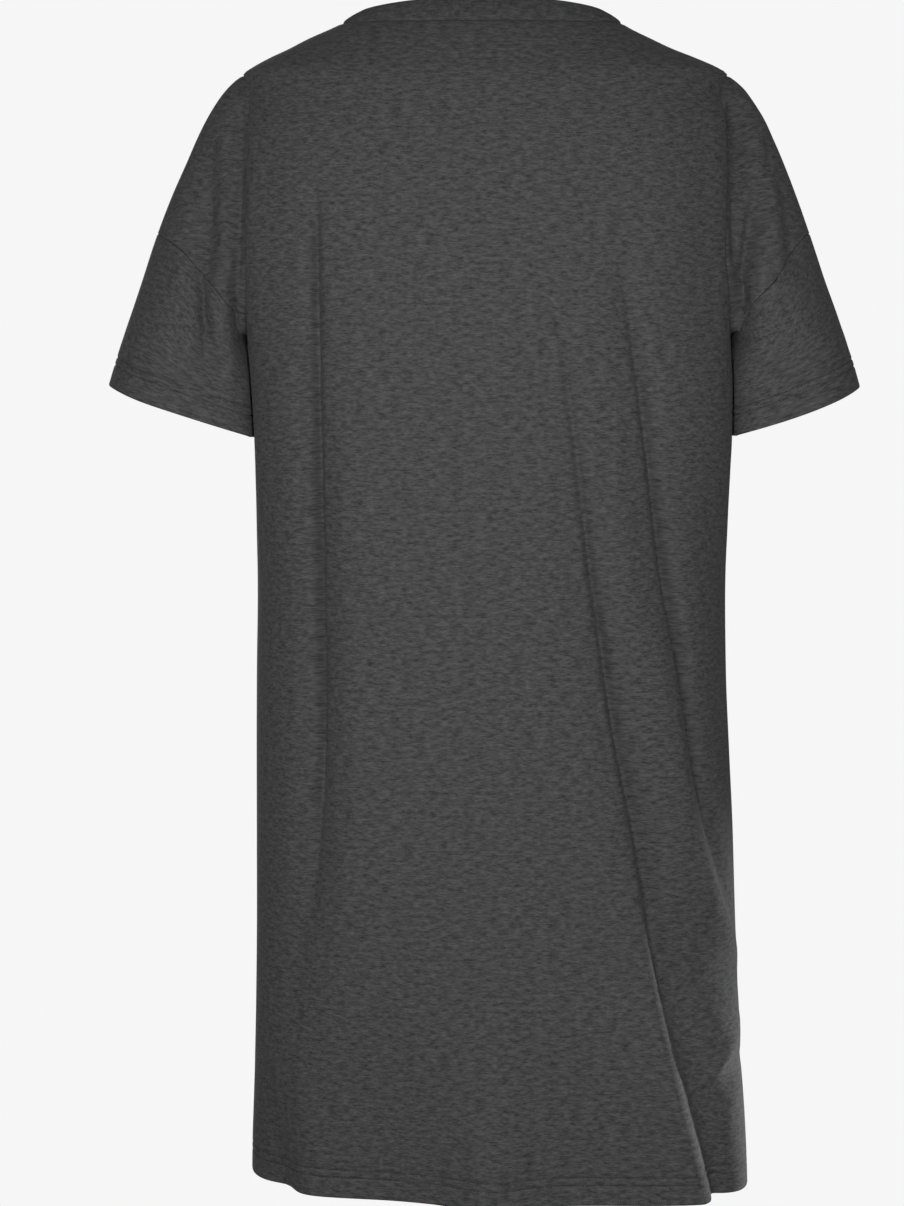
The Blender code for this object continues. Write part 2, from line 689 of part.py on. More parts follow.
def make_piece(name, cloth, places, triangles, steps, finish):
    """A closed solid from one cut piece: its outer surface, its inner surface and its rim."""
    rim = rim_of(triangles)
    shift = drawn_back(places, steps, rim)
    used = np.unique(triangles)
    number = {old: new for new, old in enumerate(used)}
    outer = places[used] + shift[used]
    inner = outer + steps[used] * np.array(cloth.wall)[used][:, None]
    count = len(used)
    faces = []
    for a, b, c in triangles:
        a, b, c = number[a], number[b], number[c]
        faces += [(a, b, c), (c + count, b + count, a + count)]
    for a, b in rim:
        same_on_both_pieces = a < b
        a, b = number[a], number[b]
        if same_on_both_pieces:
            faces += [(b, a, b + count), (a, a + count, b + count)]
        else:
            faces += [(b, a, a + count), (b, a + count, b + count)]
    mesh = bpy.data.meshes.new(name)
    mesh.from_pydata((np.concatenate([outer, inner]) * MM).tolist(), [], faces)
    mesh.validate()
    mesh.shade_smooth()
    mesh.set_sharp_from_angle(angle=np.radians(50))
    mesh.materials.append(make_material(name, finish))
    bpy.context.scene.collection.objects.link(bpy.data.objects.new(name, mesh))


def main():
    for old in list(bpy.data.objects):
        bpy.data.objects.remove(old, do_unlink=True)
    heights = levels()
    cloth = Cloth()
    for face in ("back", "front"):
        lay_body(cloth, face, heights)
        for side in ("left", "right"):
            lay_cap(cloth, side, face, heights)
    for side in ("left", "right"):
        lay_sleeve(cloth, side, heights)
    lay_band(cloth, heights)

    places = np.array(cloth.places)
    triangles = {name: cut(faces)(places) for name, faces in cloth.pieces.items()}
    whole = np.concatenate(list(triangles.values()))
    places = places + smooth_normals(places, whole) * np.array(cloth.push)[:, None]
    steps = inward(places, whole)
    for name, own in triangles.items():
        finish = RIB if name == "neckband" else JERSEY
        make_piece(name, cloth, places, own, steps, finish)


main()
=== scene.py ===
# A short-sleeved jersey nightshirt, filled out as when it is worn, with nobody inside, seen from
# behind. The back faces +Y, the wearer's left is +X and up is +Z. Sizes are millimetres until a
# mesh is made.

import bpy
import numpy as np
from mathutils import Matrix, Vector


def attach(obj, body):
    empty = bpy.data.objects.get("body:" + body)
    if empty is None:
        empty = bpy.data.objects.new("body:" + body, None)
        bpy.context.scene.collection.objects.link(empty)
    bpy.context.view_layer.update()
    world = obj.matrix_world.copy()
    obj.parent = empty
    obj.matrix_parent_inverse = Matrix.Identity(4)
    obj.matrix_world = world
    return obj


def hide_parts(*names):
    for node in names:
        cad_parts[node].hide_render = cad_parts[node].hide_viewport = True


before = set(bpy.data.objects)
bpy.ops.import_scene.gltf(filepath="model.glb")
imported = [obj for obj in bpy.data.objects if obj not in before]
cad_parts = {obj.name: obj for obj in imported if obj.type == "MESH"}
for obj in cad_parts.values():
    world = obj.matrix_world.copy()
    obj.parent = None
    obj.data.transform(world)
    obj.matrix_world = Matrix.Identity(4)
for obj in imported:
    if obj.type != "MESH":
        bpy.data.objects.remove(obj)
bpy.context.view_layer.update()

MM = 0.001
WALL = 1.4          # single jersey with its nap
HEM_WALL = 2.6      # the same jersey turned up once
HEM_DEPTH = 22.0    # how far the lower edges are turned up
BAND_WALL = 2.6     # neck rib folded double
# How far each piece stops short of its seams. The armhole shows as a fine dark line, and
# the side seams are drawn shut.
SEAM_ROOM = {"back": 0.03, "front": 0.03, "sleeve_left": 0.3, "sleeve_right": 0.3}

NECK_TOP = -3.0          # height of the neck seam at the shoulders
SHOULDER_POINT = -42.0   # where the fold over the arm begins
SLEEVE_TOP = -163.0      # armhole seam at the outer side of the arm
UNDERARM = -243.0        # armhole seam under the arm
HEM = -895.0
NECK_DROP = {"back": 2.0, "front": 82.0}

SIDES = ("left", "right")
FACES = ("back", "front")
SIGN = {"left": 1.0, "right": -1.0, "back": 1.0, "front": -1.0}

HEM_STITCHES = (16.0, 22.0)    # the two rows of stitches above the bottom edge
CUFF_STITCHES = (17.0, 23.0)   # and above the sleeves' edges
STITCH_PITCH = 3.0
STITCH_LENGTH = 2.5
STITCH_SIDES = 6
STITCH_AIM = 0.5       # a stitch points from this far behind its middle to this far ahead of it
THREAD = 0.65
COURSE = 0.0016        # a row of knit loops, in metres, drawn coarser than it is so that it shows
EDGE_ROWS = (0, 0.2, 0.55, 1.3, 3, 6, 9, 12)     # grid rows up from a turned edge
NEEDLE_ROWS = (-1.5, -0.8, 0.0, 0.8, 1.5)        # and round each row of stitches
PAST_STITCHES = 4.0    # the last of those rows, above the upper stitches
RAW_EDGE = 1.5         # how far past its depth the turned-up cloth still shows
LEAST_WALL = 0.12      # where an edge rounds to nothing

# Each groove's depth and width.
NEEDLE_GROOVE = (0.9, 0.8)
SEAM_GROOVE = (0.55, 0.9)
NECK_GROOVE = (0.6, 1.0)

# The neck rib. It stands steeper at the back and the front of the neck than at its sides.
RIB_PITCH = 2.0
RIB_HEIGHT = 0.45
RIB_POINTS = 6         # points of the grid to a rib
RIB_ROUND = 0.8        # below 1 the ribs are broad and the furrows between them narrow
NECK_HALF = 107.0      # half the width of the neck seam
NECK_DEEP = {"back": 58.0, "front": 80.0}   # and how far it reaches from the middle plane
BAND_RISE = {"side": 9.5, "more at the back": 9.5, "more at the front": 8.0}
BAND_LEAN = {"across": 16.0, "deep": 9.0}
BAND_BOW = 1.6         # how far its wall swells outwards at mid height
BAND_TUCK = 1.6        # how far its lowest edge goes in under the neck seam
BAND_ROW = 2.4         # knit between two rows of its grid
BAND_OUTSIDE = (-0.07, 0.04, 0.12, 0.25, 0.4, 0.55, 0.7, 0.82, 0.92)
BAND_INSIDE = (0.92, 0.8, 0.6, 0.4, 0.2, 0.05)
BAND_TOP = 0.93        # share of the rise at which it folds over
RIB_FROM = 0.12        # share of the rise at which the ribs have their full height
BAND_GROOVE = (0.5, 0.1)   # depth, and width as a share of the rise

# The grid of the cloth, in columns across it and rows up it.
BODY_HALF_COLUMNS = 80     # from the middle to one side
CAP_COLUMNS = 46           # from the valley beside the body to the armhole seam
SLEEVE_ROWS = 44
PITCH_BELOW_ARM = 6.0
ARMPIT_REACH = 12.0        # above the underarm, where the rows stand close
ARMPIT_PITCH = 1.0
ARMHOLE_ROWS = 42
CAP_ROWS = 40
CAP_CROWDING = 0.1         # draws the rows of the cap together towards the shoulder
SHOULDER_PITCH = 2.2
NECK_ROWS = (-8.0, -6.0, -4.6, -3.6)   # heights of the last rows below the neck seam
DRAWN_TOGETHER = 1.5       # power that draws places together towards one end
SEAM_STOPS = (1.7, 0.7)    # two places more close to each seam
SEAM_MARGIN = 4.2          # where the even places end before them
SHORT_ROW = 16.0           # a shorter row has even places only

# How finely curves are followed.
HEIGHT_STEPS = 150
TURN_STEPS = 90
ROW_STEPS = 240
VALLEY_STEPS = 600
CAP_STEPS = 70
SLEEVE_STEPS = 120
HALVINGS = 40          # in the search for the valley
CUFF_ROUNDS = 12
CUFF_GUESS = -300.0    # the height from which the edge of a sleeve is searched for

# The plain backdrop, its light and the camera, in metres and degrees.
PAPER = "#f6f6f6"
AMBIENT = 0.22
FLOOR_REACH = 60.0
FLOOR_HEIGHT = -1.4
CAMERA_PLACE = (0.0255, 2.8, -0.261)
CAMERA_TILT = 3.8267
LENS = 108
FILM = 36


def columns(names, *rows):
    """A table whose columns can be asked for by name, sorted by its first column."""
    return dict(zip(names.split(), np.array(sorted(rows), float).T))


def fold(*rows):
    """Each row: a height, the fold's place across, its push, and its spread to either side."""
    return columns("height across push left right", *rows)


# Half widths and depths of the body at each height. The tuck is how far the side is drawn
# in behind the fold that hangs over the arm.
BODY = columns(
    "height left right back front squareness tuck",
    (-3, 109.5, 104.5, 58, 20, 2.2, 0),
    (-8, 120, 113, 63, 27, 2.2, 0),
    (-15, 136, 127.5, 69, 34, 2.2, 0),
    (-23, 151.5, 144.5, 75, 41, 2.2, 0),
    (-30, 166.5, 162.5, 80, 46, 2.2, 0),
    (-38, 180.5, 180, 85, 51, 2.3, 0),
    (-42, 185.5, 185.5, 88, 54, 2.3, 0),
    (-50, 184, 183.5, 92, 60, 2.4, 0.5),
    (-60, 183, 182, 96, 66, 2.5, 1.5),
    (-90, 182.5, 181.5, 106, 84, 2.8, 5),
    (-130, 183, 182, 115, 103, 3.0, 7),
    (-170, 185, 183, 121, 116, 3.0, 7),
    (-225, 183, 185.5, 125, 128, 3.0, 6),
    (-243, 181.5, 186.5, 126, 130, 3.0, 5),
    (-260, 180, 187, 127, 131, 3.0, 11),
    (-279, 178.5, 188, 127, 133, 3.0, 16),
    (-316, 176.5, 188, 127, 134, 2.9, 16),
    (-345, 175.8, 187, 127, 135, 2.8, 12),
    (-375, 175.5, 186.2, 126, 135, 2.7, 5),
    (-437, 175.6, 185.5, 126, 135, 2.6, 0),
    (-500, 176.6, 186.5, 126, 135, 2.5, 0),
    (-560, 177, 189.2, 126, 136, 2.5, 0),
    (-623, 177.1, 192.4, 125, 137, 2.5, 0),
    (-685, 177.4, 194.4, 124, 138, 2.5, 0),
    (-748, 178.3, 196.4, 123, 139, 2.5, 0),
    (-810, 179.8, 198.2, 121, 140, 2.5, 0),
    (-842, 180.9, 199.9, 120, 140, 2.5, 0),
    (-873, 181.9, 201.3, 119, 141, 2.5, 0),
    (-895, 182.2, 202, 118, 141, 2.5, 0),
)
TUCK_REACH = 38.0

# How much squarer the section is low on the right of the back.
SHARPER_CORNER = columns("height more", (-730, 0), (-780, 1.6), (-830, 2.8), (-895, 3.2))

# The arm tube: how far its outer side is from the middle, how far its inner side lies inside
# the body's side, and its depths. Below the underarm it stands clear, so that is negative.
ARM = columns(
    "height left right inside back front forward",
    (-42, 185.5, 185.5, 60, 18, 18, 0),
    (-46, 191.3, 191.3, 62, 22, 22, 0),
    (-53, 198.5, 199, 66, 28, 27, 0),
    (-61, 204.8, 205, 70, 33, 33, 0),
    (-76, 214, 214.4, 74, 40, 41, 0),
    (-91, 221.5, 221.4, 78, 46, 48, 0),
    (-107, 228.5, 228.4, 82, 51, 54, 0),
    (-137, 241.8, 240.1, 86, 58, 62, 0),
    (-168, 253.6, 251.1, 84, 64, 68, 0),
    (-199, 263.8, 261.4, 52, 69, 72, 0),
    (-225, 272.5, 270.8, 26, 71, 74, 0),
    (-235, 276, 274.2, 12, 71, 75, 0),
    (-243, 278.6, 277, 0, 72, 75, 0),
    (-247, 280, 278.3, -2, 72, 75, 0),
    (-252, 281.7, 280, -2.6, 72, 75, -0.5),
    (-260, 284.3, 282.9, -2.8, 72, 75, -1),
    (-280, 290.6, 289, -2.8, 71, 75, -3),
    (-320, 303, 301, -2.8, 69, 74, -6),
)
ARM_SQUARENESS = {"outer": 2.2, "inner": 1.75, "inner back of the free sleeve": 4.0}
FREE_FROM = 20.0        # above the underarm, where the sleeve's inner side begins to square up
FREE_AT = 8.0           # below the underarm, where it hangs quite free
SLEEVE_CLEARANCE = 1.6  # between the free sleeve and the body's side
LEAST_STRIP = 0.13      # turn of the arm that the body piece always covers outside its valley
HIGHEST_VALLEY = 1.35   # turn of the body beyond which it can't meet the arm
ARM_EDGE = (0.1, 0.5)   # share of the arm's depth over which folds fade from back to front

# How far out the armhole seam lies at each height.
ARMHOLE = columns(
    "height left right",
    (-163, 252.0, 249.4),
    (-166, 247.0, 244.0),
    (-172, 237.5, 238.0),
    (-179, 228.5, 233.0),
    (-188, 220.5, 226.5),
    (-197, 213.4, 220.5),
    (-204, 206.5, 214.5),
    (-210, 201.5, 208.0),
    (-217, 195.5, 201.0),
    (-223, 188.5, 195.5),
    (-232, 179.0, 187.0),
    (-243, 172.0, 178.0),
)

# Height of the sleeve's edge, by how far out it lies.
CUFF = columns(
    "outward left right",
    (160, -324, -327), (182, -317.5, -320), (211, -308.5, -311.5), (234.5, -301, -304), (267, -290, -291.5),
    (290.5, -279.5, -280), (310, -270, -270),
)

# How much the bottom edge is lifted above level, by its place across the back.
HEM_LIFT = {
    "back": columns(
        "across lift",
        (-202, 5.5), (-185, 5), (-172, 5), (-160, 4), (-145, 2), (-110, 0.5), (-60, 0), (-10, -1.5),
        (10, -1.5), (40, -0.8), (85, -1), (130, -0.5), (165, 0.5), (182, 3),
    ),
    "front": columns(
        "across lift",
        (-202, 5), (-170, 2), (-120, -1), (-40, 1.5), (30, -1), (100, 1.5), (182, 3),
    ),
}
LIFT_REACH = 90.0   # the lift fades out this far above the hem

# Each fold follows a line down the cloth. A row gives its height, its place across, how far
# it stands out (or in, when negative), and how far it spreads to the left and to the right.
BACK_FOLDS = {
    "long valley on the left": fold(
        (-120, 127, 0, 16, 16), (-190, 128, -2.5, 14, 15), (-300, 129, -5.5, 12, 16),
        (-420, 129, -7, 12, 18), (-560, 129, -7.5, 13, 20), (-650, 133, -6.5, 15, 20),
        (-730, 141, -4, 18, 22), (-800, 146, 0, 20, 24),
    ),
    "swell beside the long valley": fold(
        (-250, 104, 0, 14, 30), (-400, 102, 2.5, 14, 34), (-600, 104, 3, 15, 36), (-740, 112, 2, 18, 40),
        (-820, 116, 0, 20, 40),
    ),
    "outer fold on the right, hollow": fold(
        (-120, -102, 0, 16, 14), (-180, -103, -2.5, 16, 13), (-260, -113, -6, 20, 11),
        (-350, -126, -7, 22, 10), (-450, -142, -7, 18, 10), (-520, -154, -5, 11, 11),
        (-600, -167, -3, 9, 12), (-680, -183, 0, 8, 12),
    ),
    "outer fold on the right, ridge": fold(
        (-430, -132, 0, 20, 10), (-500, -139, 4, 24, 9), (-580, -148, 6, 24, 8), (-640, -160, 7, 22, 8),
        (-680, -171, 5, 18, 8), (-730, -185, 0, 16, 8),
    ),
    "inner fold on the right, hollow": fold(
        (-200, -50, 0, 16, 12), (-260, -58, -2, 18, 12), (-340, -69, -4, 22, 11), (-440, -84, -5.5, 24, 11),
        (-560, -103, -5.5, 18, 12), (-650, -121, -4.5, 10, 13), (-720, -133, -3, 9, 14),
        (-790, -150, 0, 9, 14),
    ),
    "inner fold on the right, ridge": fold(
        (-540, -92, 0, 26, 10), (-620, -106, 3, 32, 9), (-700, -116, 6, 38, 9), (-760, -125, 8, 42, 9),
        (-820, -139, 9, 44, 9), (-895, -157, 9, 42, 9),
    ),
    "hollow behind that ridge": fold(
        (-660, -140, 0, 10, 14), (-730, -148, -4, 10, 17), (-800, -160, -7, 11, 16),
        (-895, -178, -10, 10, 11),
    ),
    "low swell in the middle of the hem": fold(
        (-740, -2, 0, 30, 34), (-800, -2, 4, 28, 34), (-850, -2, 11, 26, 32), (-895, -3, 16, 26, 30),
    ),
    "broad hollow at the left of the hem": fold(
        (-640, 92, 0, 60, 50), (-740, 90, -6, 62, 52), (-830, 88, -12, 64, 54), (-895, 86, -15, 64, 54),
    ),
    "pinch at the left edge": fold(
        (-800, 166, 0, 12, 14), (-850, 167, -7, 10, 16), (-895, 168, -15, 9, 17),
    ),
}
FRONT_FOLDS = {
    "long hollow on the left": fold(
        (-150, 112, 0, 18, 18), (-240, 112, -4, 16, 20), (-380, 116, -7.5, 14, 22), (-540, 122, -8, 14, 24),
        (-700, 130, -5, 18, 26), (-800, 138, 0, 20, 26),
    ),
    "long hollow on the right": fold(
        (-170, -92, 0, 20, 16), (-260, -98, -5, 22, 14), (-400, -108, -8, 26, 13), (-560, -122, -8, 28, 13),
        (-680, -138, -4, 26, 15), (-760, -148, 0, 24, 16),
    ),
    "ridge on the right": fold(
        (-600, -118, 0, 34, 14), (-720, -126, 7, 40, 12), (-820, -138, 11, 42, 11),
        (-895, -146, 13, 42, 11),
    ),
    "middle hollow": fold(
        (-330, 26, 0, 24, 20), (-450, 22, -4, 24, 18), (-600, 14, -5.5, 26, 18), (-740, 6, -3, 28, 20),
        (-820, 2, 0, 28, 22),
    ),
    "swell at the left of the hem": fold(
        (-600, 70, 0, 30, 34), (-720, 70, 6, 30, 38), (-895, 68, 14, 32, 40),
    ),
    "pinch at the right edge": fold(
        (-700, -172, 0, 12, 12), (-800, -176, -8, 10, 14), (-895, -180, -14, 10, 14),
    ),
}
LEFT_ARM_FOLDS = {
    "hollow down the back of the arm": fold(
        (-70, 211, 0, 12, 12), (-105, 212, -4, 13, 12), (-150, 213, -7, 13, 12), (-192, 214, -6, 11, 9),
        (-245, 211, -4.5, 9, 8), (-285, 210, -1.5, 9, 8), (-305, 210, 0, 9, 8),
    ),
    "roll beside the body": fold(
        (-150, 195, 0, 10, 8), (-215, 197, 3, 10, 8), (-260, 195, 3, 9, 8), (-300, 194, 0, 9, 8),
    ),
}
RIGHT_ARM_FOLDS = {
    "hollow down the back of the arm": fold(
        (-80, -199, 0, 8, 10), (-130, -200, -4, 8, 10), (-180, -198, -6, 8, 9), (-225, -196, -4, 8, 9),
        (-265, -196, 0, 8, 9),
    ),
    "roll outside that hollow": fold(
        (-70, -212, 0, 10, 9), (-110, -215, 2.5, 9, 10), (-165, -221, 3.5, 9, 12), (-215, -224, 0, 10, 12),
    ),
}
ARM_FRONT_FOLDS = {
    "hollow down the front of the arm": fold(
        (-90, 213, 0, 12, 12), (-140, 214, -5, 12, 11), (-200, 214, -7, 11, 10), (-260, 214, -3, 10, 10),
        (-300, 214, 0, 10, 10),
    ),
}

# Sharp creases where the cloth doubles over itself, narrower than the solids can show.
BACK_CREASES = {
    "crease of the long valley": fold(
        (-125, 127, 0, 3, 4), (-165, 128, -5, 3, 4.2), (-245, 129, -8, 3, 4.4), (-440, 129, -9, 3, 4.4),
        (-515, 128, -8.5, 3, 4.4), (-556, 128, -7, 3.2, 4.4), (-606, 130, -4.5, 3.6, 4.6),
        (-652, 133, -3, 4, 5), (-720, 140, 0, 4, 5),
    ),
    "step below the long valley": fold(
        (-630, 128, 0, 5, 22), (-680, 134, 2.2, 5, 24), (-740, 138, 2.4, 5, 26), (-790, 142, 1.6, 6, 26),
        (-840, 146, 0, 6, 26),
    ),
    "edge beside the left arm": fold(
        (-66, 176, 0, 4, 10), (-100, 176, 3, 4, 10), (-190, 176, 4, 4, 10), (-240, 175, 3, 4, 10),
        (-275, 173, 0, 4, 10),
    ),
    "edge beside the right arm": fold(
        (-60, -176, 0, 10, 4), (-84, -177, 4.5, 10, 4), (-190, -178, 4.5, 10, 4), (-240, -179, 3, 10, 4),
        (-275, -179, 0, 10, 4),
    ),
    "crease of the inner fold": fold(
        (-200, -50, 0, 3.6, 3), (-240, -55, -1.6, 3.6, 3), (-312, -65, -3.4, 3.6, 3),
        (-408, -78, -5.5, 4, 3), (-470, -88, -7.5, 4, 3.4), (-540, -99, -8, 3.6, 5),
        (-607, -112, -8, 3.4, 8), (-661, -121, -7, 3.6, 11), (-700, -127, -6, 4, 12),
        (-742, -136, -5, 4, 13), (-787, -149, -3, 5, 12), (-840, -162, 0, 5, 12),
    ),
    "crease of the outer fold": fold(
        (-175, -99, 0, 4, 3), (-231, -108, -3.4, 4, 3), (-312, -121, -6, 4, 3), (-410, -136, -8, 4.2, 3),
        (-470, -147, -8.5, 4, 3.4), (-563, -162, -6, 4, 4), (-609, -170, -4, 4, 5),
        (-650, -180, -2.5, 3.6, 3.4), (-690, -190, 0, 3.6, 3.4),
    ),
    "lit edge of the inner fold": fold(
        (-700, -118, 0, 10, 4), (-756, -130.5, 3, 12, 4), (-788, -138, 6, 13, 5),
        (-832, -149.5, 9, 14, 5.5), (-895, -165, 10, 14, 5.5),
    ),
    "lit edge of the outer fold": fold(
        (-600, -157, 0, 8, 4), (-640, -166.5, 3, 9, 4), (-666, -173, 4.6, 10, 4.4),
        (-695, -184, 4.6, 10, 4.4), (-716, -191, 2.4, 9, 4), (-740, -195, 0, 8, 4),
    ),
    "small fold at the right edge": fold(
        (-762, -194, 0, 5, 5), (-774, -189, 2, 7, 5), (-786, -182, 3.4, 7, 5), (-797, -175, 2.6, 7, 5),
        (-808, -168, 0, 5, 5),
    ),
    "dint below that fold": fold(
        (-782, -198, 0, 8, 8), (-802, -187, -3, 9, 8), (-828, -181, 0, 8, 8),
    ),
}
FRONT_CREASES = {
    "crease of the hollow on the left": fold(
        (-220, 112, 0, 3, 4), (-380, 116, -7, 3.2, 4.2), (-540, 122, -8, 3.2, 4.4), (-660, 128, -3, 4, 4.6),
        (-740, 133, 0, 4, 5),
    ),
    "crease of the hollow on the right": fold(
        (-240, -97, 0, 4, 3), (-400, -108, -7, 4.2, 3), (-560, -122, -8, 4.2, 3), (-680, -138, -4, 4, 3.4),
        (-750, -147, 0, 4, 4),
    ),
}
LEFT_ARM_CREASES = {
    "valley beside the body": fold(
        (-60, 186, 0, 8, 4), (-90, 186, -4, 9, 4), (-150, 186, -7, 9, 4), (-205, 186, -6, 8, 4),
        (-236, 185, -3, 8, 4), (-250, 184, 0, 8, 4),
    ),
    "trough behind the upper arm": fold(
        (-92, 213, 0, 7, 7), (-115, 213, -2.4, 8, 8), (-145, 212, -4, 8, 8), (-180, 211, -4, 8, 8),
        (-192, 212, -2, 7, 7), (-204, 213, 0, 6, 6),
    ),
    "narrow crease below the trough": fold(
        (-184, 221, 0, 3.4, 3.4), (-200, 217, -5, 3.4, 3.6), (-222, 213, -6.5, 3.6, 4),
        (-245, 210, -6, 3.6, 4), (-264, 210, -2.4, 4.4, 4.4), (-280, 210, 0, 5, 5),
    ),
}
RIGHT_ARM_CREASES = {
    "valley beside the body": fold(
        (-60, -187, 0, 3.4, 10), (-76, -187, -10, 3.4, 12), (-120, -187, -11, 3.4, 12),
        (-150, -187, -8, 3.4, 8), (-205, -188, -7, 3.6, 7), (-236, -189, -4, 4, 7), (-250, -190, 0, 4, 7),
    ),
    "crease from the outer arm in to the body": fold(
        (-84, -219, 0, 4, 4), (-103, -216, -2.4, 5, 5), (-137, -207, -5, 6, 6), (-167, -201, -7.5, 6, 6.4),
        (-205, -191, -7, 5, 6), (-224, -188, -4, 5, 6), (-242, -187, 0, 5, 6),
    ),
    "trough above the armhole seam": fold(
        (-88, -215, 0, 6, 6), (-106, -218, -2, 6, 6), (-148, -229, -4, 7, 7), (-182, -231, -4.6, 7, 7),
        (-193, -229, -2, 7, 7), (-203, -227, 0, 6, 6),
    ),
    "pocket below the shoulder": fold(
        (-62, -193, 0, 9, 9), (-78, -194, -4.4, 9, 9), (-100, -195, -4.4, 9, 9), (-118, -196, -2, 8, 8),
        (-132, -197, 0, 8, 8),
    ),
}
CREASES = {"back": BACK_CREASES, "front": FRONT_CREASES}
CROWDING = 2.4        # how much closer the columns stand on a crease than elsewhere
CROWDING_REACH = 11.0
CROWDING_FADE = 60.0  # above and below the crease
SIDE_SHARE = 0.18     # share of the columns that go round the body's side, hidden behind the arm
SIDE_DEPTH = 58.0     # how far behind the middle plane they begin
SIDE_MARGIN = 6.0     # or how far behind the valley, where that is more
SIDE_HOLD = 40.0      # how far below the top of the armhole seam this holds in full

# Where the folds and the rows of the grid give way to the seams.
SIDE_FADE = {"below the arm": 0.86, "beside the arm": 0.96}   # share of the columns out to the side
NECK_FADE = 60.0      # the folds fade in over this height below the neck seam
NECK_FOLLOW = 170.0   # how far below the neck seam the rows still follow its curve
NECK_DROP_POWER = 1.15
NECK_POWER = {"back": 0.91, "front": 1.0}


def read(table, name, where):
    """One column of a table, smooth between its rows."""
    keys = list(table)
    at, value = table[keys[0]], table[name]
    where = np.clip(where, at[0], at[-1])
    step = np.diff(at)
    rise = np.diff(value) / step
    product = rise[1:] * rise[:-1]
    inner = np.where(product > 0, 2 * product / np.where(product > 0, rise[1:] + rise[:-1], 1), 0)
    slope = np.concatenate([rise[:1], inner, rise[-1:]])
    i = np.clip(np.searchsorted(at, where) - 1, 0, len(at) - 2)
    t = (where - at[i]) / step[i]
    return (
        (1 + 2 * t) * (1 - t) ** 2 * value[i]
        + t * (1 - t) ** 2 * step[i] * slope[i]
        + t * t * (3 - 2 * t) * value[i + 1]
        + t * t * (t - 1) * step[i] * slope[i + 1]
    )


def ease(value, low, high):
    """Rises smoothly from 0 at low to 1 at high."""
    t = np.clip((value - low) / (high - low), 0, 1)
    return t * t * (3 - 2 * t)


def push_of_folds(folds, across, height):
    """How far all folds together move the cloth out of its plain form."""
    total = np.zeros_like(across)
    for fold in folds.values():
        at = fold["height"]
        inside = (height > at[0] - 1e-6) & (height < at[-1] + 1e-6)
        off = across - read(fold, "across", height)
        spread = np.where(off > 0, read(fold, "left", height), read(fold, "right", height))
        total += np.where(inside, read(fold, "push", height) * np.exp(-((off / spread) ** 2)), 0)
    return total


def body_point(side, face, turn, height):
    """Place on the body's section: a turn of 0 is the side and a quarter turn the middle."""
    half = read(BODY, side, height)
    deep = read(BODY, face, height)
    square = read(BODY, "squareness", height)
    if (side, face) == ("right", "back"):
        square = square + read(SHARPER_CORNER, "more", height)
    y = deep * np.sin(turn) ** (2 / square)
    across = np.maximum(np.cos(turn), 0) ** (2 / square)
    return half * across - read(BODY, "tuck", height) * np.exp(-((y / TUCK_REACH) ** 2)), y


FULLNESS_HEIGHTS = np.linspace(HEM, NECK_TOP, HEIGHT_STEPS)


def fullness_of(side):
    """What keeps the widest place of each section at the width its table gives."""
    turns = np.linspace(0, np.pi / 2, TURN_STEPS)[:, None]
    widest = [body_point(side, face, turns, FULLNESS_HEIGHTS)[0].max(axis=0) for face in FACES]
    return read(BODY, side, FULLNESS_HEIGHTS) / np.maximum(*widest)


FULLNESS = {side: fullness_of(side) for side in SIDES}


def body(side, face, turn, height):
    """Place on the body's section, brought out to its stated width."""
    x, y = body_point(side, face, turn, height)
    return x * np.interp(height, FULLNESS_HEIGHTS, FULLNESS[side]), y


def arm_section(side, face, height):
    """Middle, half width and depth of the arm tube's level section."""
    outer = read(ARM, side, height)
    inner = body(side, face, np.zeros_like(height), height)[0] - read(ARM, "inside", height)
    return (outer + inner) / 2, (outer - inner) / 2, read(ARM, face, height)


def arm_square(face, outward, height):
    """At the back, the inner side is squarer where the sleeve hangs free than where it joins the body."""
    inner = ARM_SQUARENESS["inner"]
    if face == "back":
        free = ease(-height, -UNDERARM - FREE_FROM, -UNDERARM + FREE_AT)
        inner = inner * (1 - free) + ARM_SQUARENESS["inner back of the free sleeve"] * free
    return np.where(outward > 0, ARM_SQUARENESS["outer"], inner)


def arm(side, face, turn, height):
    """Place on the arm tube: a turn of 0 is its outer side and half a turn its inner side."""
    middle, half, deep = arm_section(side, face, height)
    square = arm_square(face, np.cos(turn), height)
    reach = (np.abs(np.cos(turn)) ** square + np.abs(np.sin(turn)) ** square) ** (-1 / square)
    x, y = middle + half * reach * np.cos(turn), deep * reach * np.abs(np.sin(turn))
    free = ease(-height, -UNDERARM, -UNDERARM + FREE_AT)
    return x + free * np.maximum(body_side(side, face, y, height) + SLEEVE_CLEARANCE - x, 0), y


def body_side(side, face, y, height):
    """How far out the body's side is at a distance y from the middle plane."""
    deep, square = read(BODY, face, height), read(BODY, "squareness", height)
    x = read(BODY, side, height) * (1 - np.clip(y / deep, 0, 1) ** square) ** (1 / square)
    x = x - read(BODY, "tuck", height) * np.exp(-((y / TUCK_REACH) ** 2))
    return x * np.interp(height, FULLNESS_HEIGHTS, FULLNESS[side])


def turn_on_arm(side, face, x, height):
    """The turn round the arm at which its section is this far out."""
    middle, half, _ = arm_section(side, face, height)
    across = np.clip((x - middle) / half, -1, 1)
    square = arm_square(face, across, height)
    return np.arctan2((1 - np.abs(across) ** square) ** (1 / square), across)


